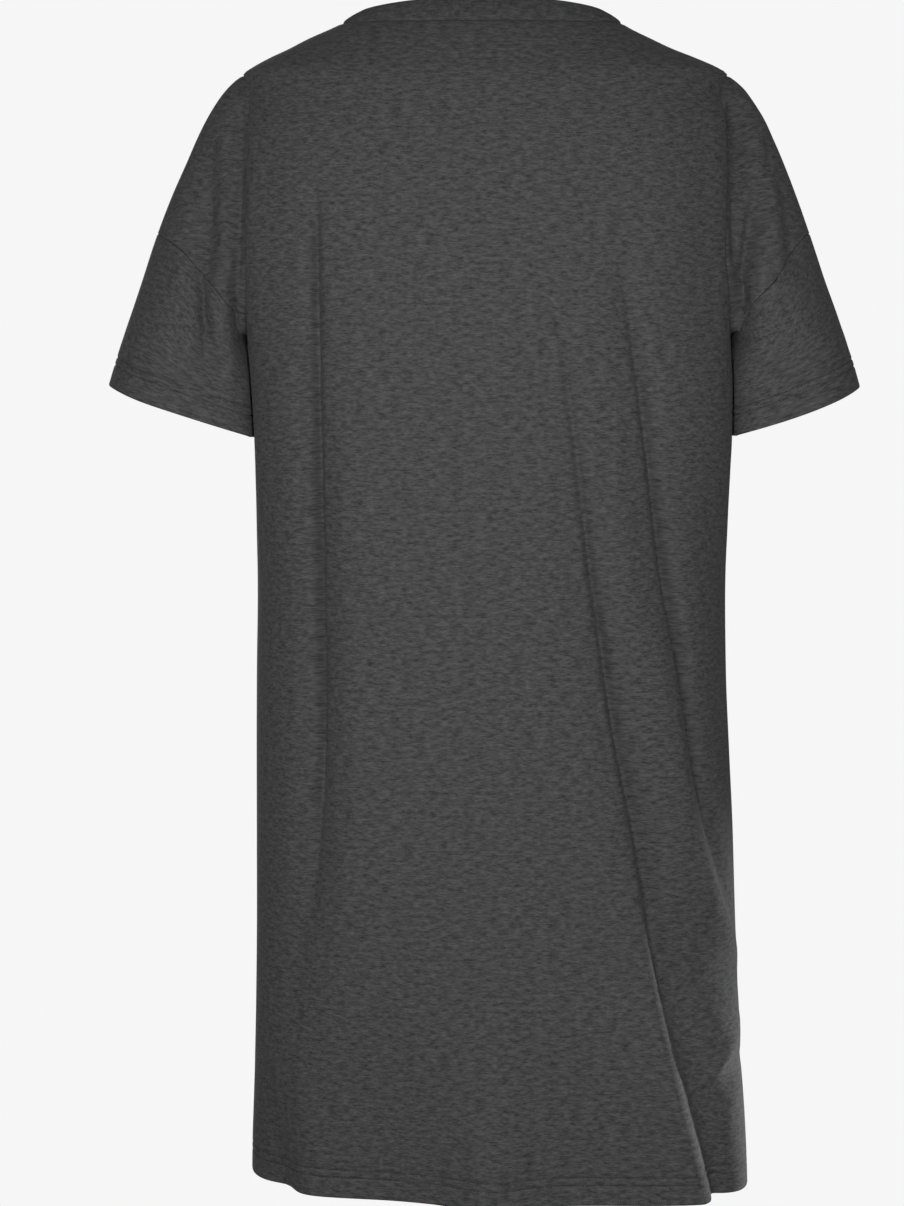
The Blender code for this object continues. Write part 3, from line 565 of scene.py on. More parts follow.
def valley_turn(side, face, height):
    """The body's turn at which it meets the arm tube."""
    middle, half, deep = arm_section(side, face, height)
    low = np.zeros_like(height)
    high = np.full_like(height, HIGHEST_VALLEY)
    for _ in range(HALVINGS):
        turn = (low + high) / 2
        x, y = body(side, face, turn, height)
        square = arm_square(face, x - middle, height)
        outside = np.abs((x - middle) / half) ** square + (y / deep) ** square > 1
        low, high = np.where(outside, low, turn), np.where(outside, turn, high)
    return (low + high) / 2


VALLEY_HEIGHTS = np.linspace(UNDERARM, SHOULDER_POINT, VALLEY_STEPS)
VALLEYS = {(side, face): valley_turn(side, face, VALLEY_HEIGHTS) for side in SIDES for face in FACES}


def valley(side, face, height):
    """Place of the valley between body and arm at one height."""
    turn = np.interp(height, VALLEY_HEIGHTS, VALLEYS[side, face])
    return turn, body(side, face, np.array([turn]), np.array([height]))[0]


def neck_turn(side, face, along):
    """Turn and drop of the neck seam, from 0 at the shoulder to 1 at the middle."""
    drop = NECK_DROP[face] * np.sin(along * np.pi / 2) ** NECK_DROP_POWER
    height = NECK_TOP - drop
    x = read(BODY, side, NECK_TOP) * np.cos(along * np.pi / 2) ** NECK_POWER[face]
    square = read(BODY, "squareness", height)
    return np.arccos(np.clip(x / read(BODY, side, height), 0, 1) ** (square / 2)), drop


def half_row(side, face, level, count):
    """Even places from the middle of the body to its side, its valley or its shoulder."""
    along = np.linspace(1, 0, ROW_STEPS)
    lowest = 0.0
    if UNDERARM < level < SHOULDER_POINT:
        lowest = valley(side, face, level)[0]
    near = np.clip(1 - (NECK_TOP - level) / NECK_FOLLOW, 0, 1)
    follow = (1 - ease(-level, -NECK_TOP, -SLEEVE_TOP)) * near
    neck, drop = neck_turn(side, face, along)
    even = along * np.pi / 2
    turn = lowest + (np.pi / 2 - lowest) * ((1 - follow) * even + follow * neck) / (np.pi / 2)
    height = level - follow * drop
    x, y = body(side, face, turn, height)
    points = np.stack([SIGN[side] * x, SIGN[face] * y, height], axis=1)
    stops = seam_stops(lengths(points)[-1], count)
    return at_stops(points, crowded(points, CREASES[face], level, stops))


def crowded(points, creases, level, stops):
    """Draws even places along a row together where creases cross it."""
    closer = np.ones(len(points))
    for crease in creases.values():
        at = crease["height"]
        begun = ease(level, at[0] - CROWDING_FADE, at[0])
        present = begun * (1 - ease(level, at[-1], at[-1] + CROWDING_FADE))
        off = points[:, 0] - read(crease, "across", level)
        closer += CROWDING * present * np.exp(-((off / CROWDING_REACH) ** 2))
    length = lengths(points)
    weight = np.concatenate([[0], np.cumsum(np.diff(length) * (closer[1:] + closer[:-1]) / 2)])
    inner = stops[: -len(SEAM_STOPS)]
    end = np.interp(inner[-1], length, weight)
    depth = np.abs(points[:, 1])
    begin = np.interp(-max(depth[-1] + SIDE_MARGIN, SIDE_DEPTH), -depth, weight)
    held = ease(-level, -SLEEVE_TOP, -SLEEVE_TOP + SIDE_HOLD)
    begin = held * begin + (1 - held) * (1 - SIDE_SHARE) * end
    drawn = np.interp(inner / inner[-1], [0, 1 - SIDE_SHARE, 1], [0, begin, end])
    return np.concatenate([np.interp(drawn, weight, length), stops[-len(SEAM_STOPS) :]])


def arm_folds(side, face):
    """The folds of one arm. Its front has the same hollow on both sides."""
    if face == "back":
        return LEFT_ARM_FOLDS | LEFT_ARM_CREASES if side == "left" else RIGHT_ARM_FOLDS | RIGHT_ARM_CREASES
    if side == "left":
        return ARM_FRONT_FOLDS
    return {name: dict(fold, across=-fold["across"]) for name, fold in ARM_FRONT_FOLDS.items()}


def edge_of_arm(points, side, face):
    """Folds fade where the arm turns from its back to its front."""
    deep = np.maximum(read(ARM, face, points[:, 2]), 1)
    return ease(np.abs(points[:, 1]) / deep, *ARM_EDGE)


def arm_push(side, face, points):
    """How far the folds of one arm move these places out of its plain form."""
    return push_of_folds(arm_folds(side, face), points[:, 0], points[:, 2]) * edge_of_arm(points, side, face)


def seam_turn(side, face, level):
    """Turn round the arm at which the armhole seam lies at this height."""
    if level >= SLEEVE_TOP - 1e-6:
        return 0.0
    at = np.array([level])
    x = valley(side, face, level)[1]
    return min(
        turn_on_arm(side, face, read(ARMHOLE, side, at), at)[0],
        turn_on_arm(side, face, x, at)[0] - LEAST_STRIP,
    )


def cuff_height(side, face, turn):
    """Height of the sleeve's edge, which depends on how far out the arm is at that height."""
    height = np.full_like(turn, CUFF_GUESS)
    for _ in range(CUFF_ROUNDS):
        height = read(CUFF, side, arm(side, face, turn, height)[0])
    return height


def rows_from(start, stop, pitch):
    """Even heights from start up to stop, about one pitch apart."""
    return np.linspace(start, stop, max(int(round((stop - start) / pitch)), 1) + 1)


def rows_of_edge(stitches):
    """Distances from a turned edge: close together on its round and beside its stitch rows."""
    first, second = stitches
    needle = np.array(NEEDLE_ROWS)
    between = [(first + second) / 2]
    return np.concatenate([EDGE_ROWS, first + needle, between, second + needle, [second + PAST_STITCHES]])


def levels():
    """Heights of the rows, from the hem up to the neck seam."""
    edge = HEM + rows_of_edge(HEM_STITCHES)
    below = rows_from(edge[-1], UNDERARM, PITCH_BELOW_ARM)[1:]
    armpit = rows_from(UNDERARM, UNDERARM + ARMPIT_REACH, ARMPIT_PITCH)[1:]
    share = np.linspace(1, 0, ARMHOLE_ROWS + 1)[1:] ** DRAWN_TOGETHER
    armhole = SLEEVE_TOP + (armpit[-1] - SLEEVE_TOP) * share
    share = np.linspace(0, 1, CAP_ROWS + 1)[1:]
    cap = SLEEVE_TOP + (SHOULDER_POINT - SLEEVE_TOP) * (share + CAP_CROWDING * np.sin(np.pi * share))
    cap[-1] = SHOULDER_POINT
    shoulder = rows_from(SHOULDER_POINT, NECK_ROWS[0], SHOULDER_PITCH)[1:]
    return np.concatenate([edge, below, armpit, armhole, cap, shoulder, NECK_ROWS[1:], [NECK_TOP]])


def seam_stops(length, count, from_start=False, to_end=True):
    """Places along a line, even but for two more close to each seam at its ends."""
    near = np.array(SEAM_STOPS)
    first, last = (SEAM_MARGIN if from_start else 0), (length - SEAM_MARGIN if to_end else length)
    inner = np.linspace(first, last, count + 1 - 3 * (from_start + to_end))
    start = [0, *near[::-1]] if from_start else []
    end = [*(length - near), length] if to_end else []
    return np.concatenate([start, inner, end])


def lengths(points):
    """Distance of each point from the first along its line; lines run along the last but one axis."""
    step = np.linalg.norm(np.diff(points, axis=-2), axis=-1)
    return np.concatenate([np.zeros(step.shape[:-1] + (1,)), np.cumsum(step, axis=-1)], axis=-1)


def at_stops(points, stops):
    """Places on a line at these distances from its start."""
    length = lengths(points)
    return np.stack([np.interp(stops, length, points[:, i]) for i in range(3)], axis=1)


def groove(distance, deep, wide):
    """Depth of a soft groove at a distance from its middle."""
    return deep * np.exp(-((distance / wide) ** 2))


def round_edge(distance):
    """How far the outer surface falls back towards a folded edge."""
    radius = HEM_WALL / 2
    rest = radius - np.clip(distance, 0, radius)
    return radius - np.sqrt(np.maximum(radius**2 - rest**2, 0))


def turned_edge(distance, stitches):
    """Sink of the outer surface and wall thickness near a turned and stitched edge."""
    rounded = round_edge(distance)
    sink = rounded + sum(groove(distance - row, *NEEDLE_GROOVE) for row in stitches)
    wall = np.where(distance <= HEM_DEPTH + RAW_EDGE, HEM_WALL, WALL)
    return sink, np.maximum(wall - 2 * rounded, LEAST_WALL)


class Cloth:
    """All the cut pieces as one surface, so that their seams share the same places."""

    def __init__(self):
        self.parts = {"place": [], "push": [], "sink": [], "wall": []}
        self.count = 0
        self.pieces = {}

    def add(self, place, push=0.0, sink=0.0, wall=WALL):
        shape = place.shape[:-1]
        number = self.count + np.arange(np.prod(shape)).reshape(shape)
        self.count += number.size
        self.parts["place"].append(place.reshape(-1, 3))
        for name, value in (("push", push), ("sink", sink), ("wall", wall)):
            self.parts[name].append(np.broadcast_to(value, shape).ravel())
        return number

    def whole(self, name):
        return np.concatenate(self.parts[name])

    def weave(self, piece, grid, knit, flip):
        """Gives a grid of places to a piece, with where each lies in the flat knit."""
        self.pieces.setdefault(piece, []).append((grid, knit, flip))


def lay_body(cloth, face, heights, other):
    """The body part of the back or the front, between its sides, valleys and shoulders."""
    count = BODY_HALF_COLUMNS
    sewn = (heights <= UNDERARM) | (heights >= SHOULDER_POINT)
    halves = []
    for side in SIDES:
        rows = np.array([half_row(side, face, level, count) for level in heights])
        halves.append(rows[:, ::-1] if side == "left" else rows[:, 1:])
    grid = np.concatenate(halves, axis=1)
    across, height = grid[..., 0], grid[..., 2]
    middle = np.abs(np.arange(2 * count + 1) / count - 1)
    push = push_of_folds(BACK_FOLDS if face == "back" else FRONT_FOLDS, across, height)
    push += push_of_folds(CREASES[face], across, height)
    fade_from = np.where(heights <= UNDERARM, SIDE_FADE["below the arm"], SIDE_FADE["beside the arm"])
    push *= 1 - ease(middle, fade_from[:, None], 1.0)
    near_neck = np.clip((NECK_TOP - NECK_DROP[face] - height[:, count]) / NECK_FADE, 0, 1)
    push *= near_neck[:, None]
    run = lengths(grid)
    from_side = np.minimum(run, run[:, -1:] - run)
    sink, wall = turned_edge(heights - HEM, HEM_STITCHES)
    sink = sink[:, None] + np.where(sewn[:, None], groove(from_side, *SEAM_GROOVE), 0)
    sink += groove(NECK_TOP - heights, *NECK_GROOVE)[:, None]
    low = ease(height, HEM + LIFT_REACH, HEM)
    grid[..., 2] += low * read(HEM_LIFT[face], "lift", across)
    numbers = cloth.add(grid, push, sink, wall[:, None])
    if other is not None:
        numbers[sewn, 0], numbers[sewn, -1] = other[sewn, 0], other[sewn, -1]
    depths = np.stack([read(BODY, face, FULLNESS_HEIGHTS), FULLNESS_HEIGHTS], axis=1)
    down = np.interp(height, FULLNESS_HEIGHTS, lengths(depths))
    knit = np.stack([run - run[:, count : count + 1], down], axis=-1)
    cloth.weave(face, numbers, knit, flip=face == "front")
    return numbers, knit


def lay_cap(cloth, side, face, heights, body_grid, body_knit):
    """The part of the back or the front that drops over the arm, down to the armhole seam."""
    edge = 0 if side == "left" else -1
    ring = np.flatnonzero((heights >= UNDERARM) & (heights <= SHOULDER_POINT))
    rows, pushes, sinks = [], [], []
    for n in ring[1:-1]:
        level = np.array([heights[n]])
        start = turn_on_arm(side, face, valley(side, face, heights[n])[1], level)[0]
        turns = start + (seam_turn(side, face, heights[n]) - start) * np.linspace(0, 1, CAP_STEPS)
        height = np.full(CAP_STEPS, heights[n])
        x, y = arm(side, face, turns, height)
        line = np.stack([SIGN[side] * x, SIGN[face] * y, height], axis=1)
        length = lengths(line)[-1]
        even = np.linspace(0, length, CAP_COLUMNS + 1)
        stops = seam_stops(length, CAP_COLUMNS) if length > SHORT_ROW else even
        last = len(stops) - len(SEAM_STOPS) - 2
        stops[:last] = stops[last] * (stops[:last] / stops[last]) ** DRAWN_TOGETHER
        points = at_stops(line, stops)
        rows.append(points)
        pushes.append(arm_push(side, face, points))
        sinks.append(groove(length - lengths(points), *SEAM_GROOVE))
    grid = np.array(rows)
    numbers = np.repeat(body_grid[ring, edge][:, None], CAP_COLUMNS + 1, axis=1)
    numbers[1:-1, 1:] = cloth.add(grid, np.array(pushes), np.array(sinks))[:, 1:]
    outward = 1 if side == "right" else -1
    knit = np.repeat(body_knit[ring, edge][:, None], CAP_COLUMNS + 1, axis=1)
    knit[1:-1, :, 0] += outward * lengths(grid)
    cloth.weave(face, numbers, knit, flip=(side == "left") == (face == "back"))
    return numbers


def lay_sleeve(cloth, side, heights, back, front):
    """A sleeve, from the armhole seam down to its turned edge."""
    ring = np.flatnonzero((heights >= UNDERARM) & (heights <= SLEEVE_TOP))[::-1]
    size = len(ring) - 1
    tops = np.concatenate([back[size::-1, -1], front[1 : size + 1, -1]])
    places = cloth.whole("place")
    edge_rows = rows_of_edge(CUFF_STITCHES)
    lines, knits, sinks, walls = [], [], [], []
    around = 0.0
    for order, top in enumerate(tops):
        face, share = ("back", order) if order <= size else ("front", 2 * size - order)
        level = heights[ring[share]]
        start = 0.0 if share == 0 else np.pi if share == size else seam_turn(side, face, level)
        even = np.pi * share / size
        t = np.linspace(0, 1, SLEEVE_STEPS)
        end = cuff_height(side, face, np.array([even]))[0]
        height = level + (end - level) * t
        x, y = arm(side, face, start + (even - start) * ease(t, 0, 1), height)
        line = np.stack([SIGN[side] * x, SIGN[face] * y + read(ARM, "forward", height), height], axis=1)
        line[0] = places[top]
        length = lengths(line)[-1]
        inner = seam_stops(length - edge_rows[-1], SLEEVE_ROWS, from_start=True, to_end=False)
        stops = np.concatenate([inner[:-1], length - edge_rows[::-1]])
        points = at_stops(line, stops)
        if lines:
            around += np.linalg.norm(points[len(points) // 2] - lines[-1][len(points) // 2])
        sink, wall = turned_edge(length - stops, CUFF_STITCHES)
        lines.append(points)
        sinks.append(sink + groove(stops, *SEAM_GROOVE))
        walls.append(wall)
        knits.append(np.stack([np.full(len(stops), around), length - stops], axis=1))
    grid = np.array(lines)
    push = np.empty(grid.shape[:2])
    for face, part in (("back", slice(None, size + 1)), ("front", slice(size + 1, None))):
        push[part] = arm_push(side, face, grid[part].reshape(-1, 3)).reshape(push[part].shape)
    numbers = cloth.add(grid, push, np.array(sinks), np.array(walls))
    numbers[:, 0] = tops
    closed = np.concatenate([numbers, numbers[:1]])
    cloth.weave("sleeve_" + side, closed, wrapped(np.array(knits)), flip=side == "right")
    return numbers


def wrapped(knit):
    """The knit of a tube, with its first line again after its last."""
    again = knit[:1].copy()
    again[..., 0] += 2 * knit[-1, 0, 0] - knit[-2, 0, 0]
    return np.concatenate([knit, again])


def triangles_of(grid, places, flip):
    """Two triangles for each four neighbouring places, split along the shorter diagonal."""
    a, b, c, d = (g.ravel() for g in (grid[:-1, :-1], grid[:-1, 1:], grid[1:, 1:], grid[1:, :-1]))
    short = np.linalg.norm(places[a] - places[c], axis=1) <= np.linalg.norm(places[b] - places[d], axis=1)
    short = short[:, None]
    first = np.where(short, np.stack([a, b, c], 1), np.stack([a, b, d], 1))
    second = np.where(short, np.stack([a, c, d], 1), np.stack([b, c, d], 1))
    found = np.concatenate([first, second])
    real = (found[:, 0] != found[:, 1]) & (found[:, 1] != found[:, 2]) & (found[:, 2] != found[:, 0])
    found = found[real]
    return found[:, ::-1] if flip else found


def smooth_normals(places, triangles):
    """A unit normal at each place, from the triangles round it."""
    a, b, c = (places[triangles[:, i]] for i in range(3))
    normal = np.cross(b - a, c - a)
    total = np.zeros_like(places)
    for i in range(3):
        for axis in range(3):
            total[:, axis] += np.bincount(triangles[:, i], normal[:, axis], len(places))
    return total / np.maximum(np.linalg.norm(total, axis=1, keepdims=True), 1e-12)


def rim_of(triangles, count):
    """Directed edges that only one triangle uses."""
    edges = np.concatenate([triangles[:, [0, 1]], triangles[:, [1, 2]], triangles[:, [2, 0]]])
    key, back = edges[:, 0] * count + edges[:, 1], edges[:, 1] * count + edges[:, 0]
    return edges[~np.isin(back, key)]


def drawn_back(places, normals, rim):
    """Unit moves of the rim of a piece into the piece."""
    along = places[rim[:, 1]] - places[rim[:, 0]]
    into = np.cross(normals[rim[:, 0]] + normals[rim[:, 1]], along)
    into /= np.maximum(np.linalg.norm(into, axis=1, keepdims=True), 1e-9)
    shift = np.zeros_like(places)
    for end in (0, 1):
        np.add.at(shift, rim[:, end], into)
    size = np.linalg.norm(shift, axis=1, keepdims=True)
    return np.where(size > 1e-6, shift / np.maximum(size, 1e-9), 0)


def new_object(name, places, faces, material, knit=None):
    """An object from places in millimetres, with where each lies in the flat knit."""
    mesh = bpy.data.meshes.new(name)
    mesh.from_pydata(places * MM, [], faces)
    if knit is not None:
        corner = np.empty(len(mesh.loops), np.int32)
        mesh.loops.foreach_get("vertex_index", corner)
        layer = mesh.uv_layers.new(name="knit")
        layer.uv.foreach_set("vector", (knit[corner] * MM).ravel().astype(np.float32))
    mesh.shade_smooth()
    mesh.materials.append(material)
    made = bpy.data.objects.new(name, mesh)
    bpy.context.scene.collection.objects.link(made)
    return made


def make_shell(name, cloth, places, normals, parts, material):
    """A cut piece as a thin shell: its outer surface, its inner surface and its rim."""
    triangles = np.concatenate([triangles_of(grid, places, flip) for grid, _, flip in parts])
    knit = np.zeros((len(places), 2))
    for grid, where, _ in parts:
        knit[grid.ravel()] = where.reshape(-1, 2)
    rim = rim_of(triangles, len(places))
    used, inverse = np.unique(triangles, return_inverse=True)
    triangles = inverse.reshape(-1, 3)
    number = np.zeros(len(places), int)
    number[used] = np.arange(len(used))
    shift = drawn_back(places, normals, rim)[used] * SEAM_ROOM[name]
    outer = places[used] + shift - normals[used] * cloth.whole("sink")[used][:, None]
    inner = outer - normals[used] * cloth.whole("wall")[used][:, None]
    count = len(used)
    a, b = number[rim[:, 0]], number[rim[:, 1]]
    sides = np.concatenate([np.stack([b, a, a + count], 1), np.stack([b, a + count, b + count], 1)])
    faces = np.concatenate([triangles, triangles[:, ::-1] + count, sides])
    knit = np.concatenate([knit[used]] * 2)
    return new_object(name + "_cloth", np.concatenate([outer, inner]), faces, material, knit)


def linear(colour):
    """Linear values of an sRGB hex colour."""
    parts = np.array([int(colour[i : i + 2], 16) for i in (1, 3, 5)]) / 255
    return (*np.where(parts <= 0.04045, parts / 12.92, ((parts + 0.055) / 1.055) ** 2.4), 1)


def add(tree, kind, inputs=(), **settings):
    """A node with its settings, and its inputs set to values or linked to other outputs."""
    node = tree.nodes.new(kind)
    for name, value in settings.items():
        setattr(node, name, value)
    for name, value in dict(inputs).items():
        if isinstance(value, bpy.types.NodeSocket):
            tree.links.new(value, node.inputs[name])
        else:
            node.inputs[name].default_value = value
    return node


def new_material(name):
    """A material, its node tree and its main shader."""
    material = bpy.data.materials.new(name)
    material.use_nodes = True
    tree = material.node_tree
    return material, tree, tree.nodes["Principled BSDF"]


def give(node, values):
    """Sets inputs of a node to these values."""
    for name, value in values.items():
        node.inputs[name].default_value = value


def blend(tree, amount, dark, light):
    """A colour between two, each given with the amount at which it is reached."""
    ramp = add(tree, "ShaderNodeValToRGB", {"Fac": amount})
    for stop, (place, colour) in zip(ramp.color_ramp.elements, (dark, light)):
        stop.position = place
        stop.color = linear(colour)
    return ramp.outputs[0]


def heather(name, dark, light, shift):
    """Cotton knitted from one yarn of black and grey fibres mixed before spinning. The fibres
    lie along the courses, so they show as short level streaks. The worn surface is a matt fuzz
    with no gloss, only a soft bloom where it turns away."""
    material, tree, shader = new_material(name)
    place = add(tree, "ShaderNodeUVMap", uv_map="knit").outputs[0]
    shifted = {0: place, 1: (shift, 0.7 * shift, 0)}
    moved = add(tree, "ShaderNodeVectorMath", shifted, operation="ADD").outputs[0]

    def spots(wide, tall, detail):
        """Uneven spots of about that size in metres, along and up the cloth."""
        sizes = {0: moved, 1: (wide, tall, 1)}
        sized = add(tree, "ShaderNodeVectorMath", sizes, operation="DIVIDE").outputs[0]
        noise = {"Vector": sized, "Scale": 1.0, "Detail": detail, "Roughness": 0.6}
        return add(tree, "ShaderNodeTexNoise", noise, noise_dimensions="2D").outputs[0]

    def scaled(value, factor, more):
        """A value times a factor, with more added."""
        terms = {0: value, 1: factor, 2: more}
        return add(tree, "ShaderNodeMath", terms, operation="MULTIPLY_ADD").outputs[0]

    streaks = spots(0.0042, 0.0010, 2.0)   # single thick places of the yarn
    patches = spots(0.0090, 0.0030, 3.0)   # where darker and lighter lengths of yarn meet
    shade = scaled(patches, 0.54, scaled(streaks, 0.50, -0.25))
    tree.links.new(blend(tree, shade, (0.07, dark), (0.47, light)), shader.inputs["Base Color"])

    # At a scale of 1 the bands are 2 pi / 20 metres apart, so this gives one for each course.
    bands = {"Vector": place, "Scale": 2 * np.pi / 20 / COURSE, "Distortion": 0.6, "Detail": 1.0}
    loops = add(tree, "ShaderNodeTexWave", bands, wave_type="BANDS", bands_direction="Y").outputs["Fac"]
    fuzz = spots(0.0011, 0.0007, 3.0)
    high = scaled(loops, 0.25, fuzz)
    bump = add(tree, "ShaderNodeBump", {"Strength": 0.35, "Distance": 0.0005, "Height": high})
    tree.links.new(bump.outputs[0], shader.inputs["Normal"])
    give(shader, {"Roughness": 0.92, "IOR": 1.45, "Specular IOR Level": 0.22})
    give(shader, {"Sheen Weight": 0.12, "Sheen Roughness": 0.45, "Sheen Tint": linear("#9c9c9e")})
    return material


def thread_with_painted_shade():
    """Spun polyester thread of two twisted plies, so it catches a little more light along its length than
    the knit round it. Its colour is drawn far darker than the cloth it really matches: painted shade of the
    grooves the stitches sink into."""
    material, tree, shader = new_material("thread_with_painted_shade")
    place = add(tree, "ShaderNodeTexCoord").outputs["Object"]
    dye = add(tree, "ShaderNodeTexNoise", {"Vector": place, "Scale": 260.0, "Detail": 1.0}).outputs[0]
    # Both shades are much darker than the jersey: the thread's own charcoal plus painted shade of the stitch
    # grooves.
    colour = blend(tree, dye, (0.3, "#141416"), (0.7, "#232326"))
    tree.links.new(colour, shader.inputs["Base Color"])
    give(shader, {"Roughness": 0.55, "IOR": 1.55, "Specular IOR Level": 0.3})
    return material


# One stitch from end to end: the place along it and its thickness as shares, and its lift.
STITCH = columns(
    "along thick lift",
    (-1, 0.15, -0.35), (-0.86, 0.6, -0.12), (-0.5, 0.92, 0.05), (0, 1, 0.1),
    (0.5, 0.92, 0.05), (0.86, 0.6, -0.12), (1, 0.15, -0.35),
)


def stitches(name, lines, material):
    """Rows of separate stitches, each a short rounded thread that dips into the cloth."""
    sides = STITCH_SIDES
    turn = np.arange(sides) / sides * 2 * np.pi
    template = []
    for along, thick, lift in zip(*STITCH.values()):
        half, radius = along * STITCH_LENGTH / 2, thick * THREAD / 2
        template += [(half, radius * np.cos(t), lift + radius * np.sin(t)) for t in turn]
    template = np.array(template)
    rings = np.arange(len(template)).reshape(-1, sides)
    pattern = []
    for low, high in zip(rings, rings[1:]):
        for i in range(sides):
            j = (i + 1) % sides
            pattern += [(low[i], high[i], high[j]), (low[i], high[j], low[j])]
    begin, end = rings[0], rings[-1]
    pattern += [(begin[0], begin[i], begin[i + 1]) for i in range(1, sides - 1)]
    pattern += [(end[0], end[i + 1], end[i]) for i in range(1, sides - 1)]
    pattern = np.array(pattern)
    places, faces = [], []
    for line, normal in lines:
        length = lengths(line)
        middles = np.arange(STITCH_PITCH / 2, length[-1], STITCH_PITCH)
        at = at_stops(line, middles)
        ahead = at_stops(line, np.minimum(middles + STITCH_AIM, length[-1]))
        ahead -= at_stops(line, np.maximum(middles - STITCH_AIM, 0))
        ahead /= np.linalg.norm(ahead, axis=1, keepdims=True)
        up = np.stack([np.interp(middles, length, normal[:, i]) for i in range(3)], axis=1)
        up -= ahead * (up * ahead).sum(axis=1, keepdims=True)
        up /= np.linalg.norm(up, axis=1, keepdims=True)
        beside = np.cross(up, ahead)
        frames = np.stack([ahead, beside, up], axis=1)
        made = at[:, None] + np.einsum("vk,nkx->nvx", template, frames)
        start = sum(len(p) for p in places)
        places.append(made.reshape(-1, 3))
        first = start + rings.size * np.arange(len(at))
        faces.append((pattern[None] + first[:, None, None]).reshape(-1, 3))
    return new_object(name, np.concatenate(places), np.concatenate(faces), material)


def neck_rib(ring, material):
    """The neck rib: a band folded double that stands on the neck seam and leans inwards."""
    closed = np.concatenate([ring, ring[:1]])
    around = lengths(closed)[-1]
    ribs = int(round(around / RIB_PITCH))
    count = ribs * RIB_POINTS
    base = at_stops(closed, np.arange(count) * around / count)
    x, y, _ = base.T
    reach = np.hypot(x / NECK_HALF, y / np.where(y > 0, NECK_DEEP["back"], NECK_DEEP["front"]))
    back = np.maximum(y, 0) / NECK_DEEP["back"] / reach
    front = np.maximum(-y, 0) / NECK_DEEP["front"] / reach
    rise = BAND_RISE["side"] + BAND_RISE["more at the back"] * back**2
    rise += BAND_RISE["more at the front"] * front**2
    inward = BAND_LEAN["deep"] * np.sign(y) * (back**2 + front**2)
    lean = np.stack([x * BAND_LEAN["across"] / NECK_HALF, inward, -rise], axis=1)
    out = np.stack([x / NECK_HALF, y / NECK_DEEP["front"], np.zeros(count)], axis=1)
    out /= np.linalg.norm(out, axis=1, keepdims=True)
    ahead = np.roll(base, -1, axis=0) - np.roll(base, 1, axis=0)
    facing = np.cross(ahead, lean)
    facing /= np.linalg.norm(facing, axis=1, keepdims=True)
    facing *= np.sign((facing * out).sum(axis=1, keepdims=True))
    half = BAND_WALL / 2
    turns = np.linspace(0, np.pi, 7)[1:-1]
    profile = [(t, 0.0) for t in BAND_OUTSIDE]
    profile += [(BAND_TOP + (1 - BAND_TOP) * np.sin(a), half * (1 - np.cos(a))) for a in turns]
    profile += [(t, BAND_WALL) for t in BAND_INSIDE]
    wave = np.abs(np.sin(np.pi * np.arange(count) / RIB_POINTS)) ** RIB_ROUND
    rows = []
    for t, deep in profile:
        along = base - lean * t + out * BAND_BOW * np.sin(np.pi * t)
        side = np.cos(np.pi * deep / BAND_WALL)
        raised = RIB_HEIGHT * wave * side * np.clip(t / RIB_FROM, 0, 1)
        sunk = (groove(t, *BAND_GROOVE) + BAND_TUCK * (t < 0)) * max(side, 0)
        rows.append(along + facing * (raised - deep - sunk)[:, None])
    grid = np.array(rows)
    numbers = np.arange(grid.shape[0] * count).reshape(grid.shape[0], count)
    numbers = np.concatenate([numbers, numbers[:, :1]], axis=1)
    numbers = np.concatenate([numbers, numbers[:1]])
    faces = triangles_of(numbers, grid.reshape(-1, 3), flip=True)
    up = np.arange(len(rows))[:, None] * BAND_ROW
    knit = np.stack(np.broadcast_arrays(np.arange(count) * around / count, up), axis=-1)
    return new_object("neck_rib", grid.reshape(-1, 3), faces, material, knit.reshape(-1, 2))


heights = levels()
cloth = Cloth()
body_back, knit_back = lay_body(cloth, "back", heights, None)
body_front, knit_front = lay_body(cloth, "front", heights, body_back)
caps = {}
for side in SIDES:
    caps[side, "back"] = lay_cap(cloth, side, "back", heights, body_back, knit_back)
    caps[side, "front"] = lay_cap(cloth, side, "front", heights, body_front, knit_front)
    ridge = np.flatnonzero(heights[(heights >= UNDERARM) & (heights <= SHOULDER_POINT)] >= SLEEVE_TOP)
    caps[side, "front"][ridge, -1] = caps[side, "back"][ridge, -1]
sleeves = {}
for side in SIDES:
    sleeves[side] = lay_sleeve(cloth, side, heights, caps[side, "back"], caps[side, "front"])

places = cloth.whole("place")
grids = [part for parts in cloth.pieces.values() for part in parts]
whole = np.concatenate([triangles_of(grid, places, flip) for grid, _, flip in grids])
normals = smooth_normals(places, whole)
places = places + normals * cloth.whole("push")[:, None]
normals = smooth_normals(places, whole)

# Where along the roll of cloth each piece is cut, in metres, so that no two look alike.
cut_at = {"back": 0.0, "front": 1.7, "sleeve_left": 3.1, "sleeve_right": 4.3}
finishes = {name: heather("jersey_" + name, "#2a2a2b", "#505051", shift) for name, shift in cut_at.items()}
thread = thread_with_painted_shade()


def sewn_row(grid, row):
    """Places and normals of the cloth's surface along one row of a grid."""
    line = grid[row]
    surface = places[line] - normals[line] * cloth.whole("sink")[line][:, None]
    return surface, normals[line]


edge_rows = rows_of_edge(HEM_STITCHES)
hem_rows = [int(np.argmin(np.abs(edge_rows - row))) for row in HEM_STITCHES]
cuff_rows = [len(edge_rows) - 1 - row for row in hem_rows]
sewing = {
    "back": [sewn_row(body_back, row) for row in hem_rows],
    "front": [sewn_row(body_front, row) for row in hem_rows],
}
for side in SIDES:
    across = np.concatenate([sleeves[side], sleeves[side][:1]]).T
    first = across.shape[0] - len(edge_rows)
    sewing["sleeve_" + side] = [sewn_row(across, first + row) for row in cuff_rows]

for name, parts in cloth.pieces.items():
    piece = make_shell(name, cloth, places, normals, parts, finishes[name])
    sewn = stitches(name + "_stitches", sewing[name], thread)
    for made in (piece, sewn):
        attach(made, "root")
    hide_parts(name)

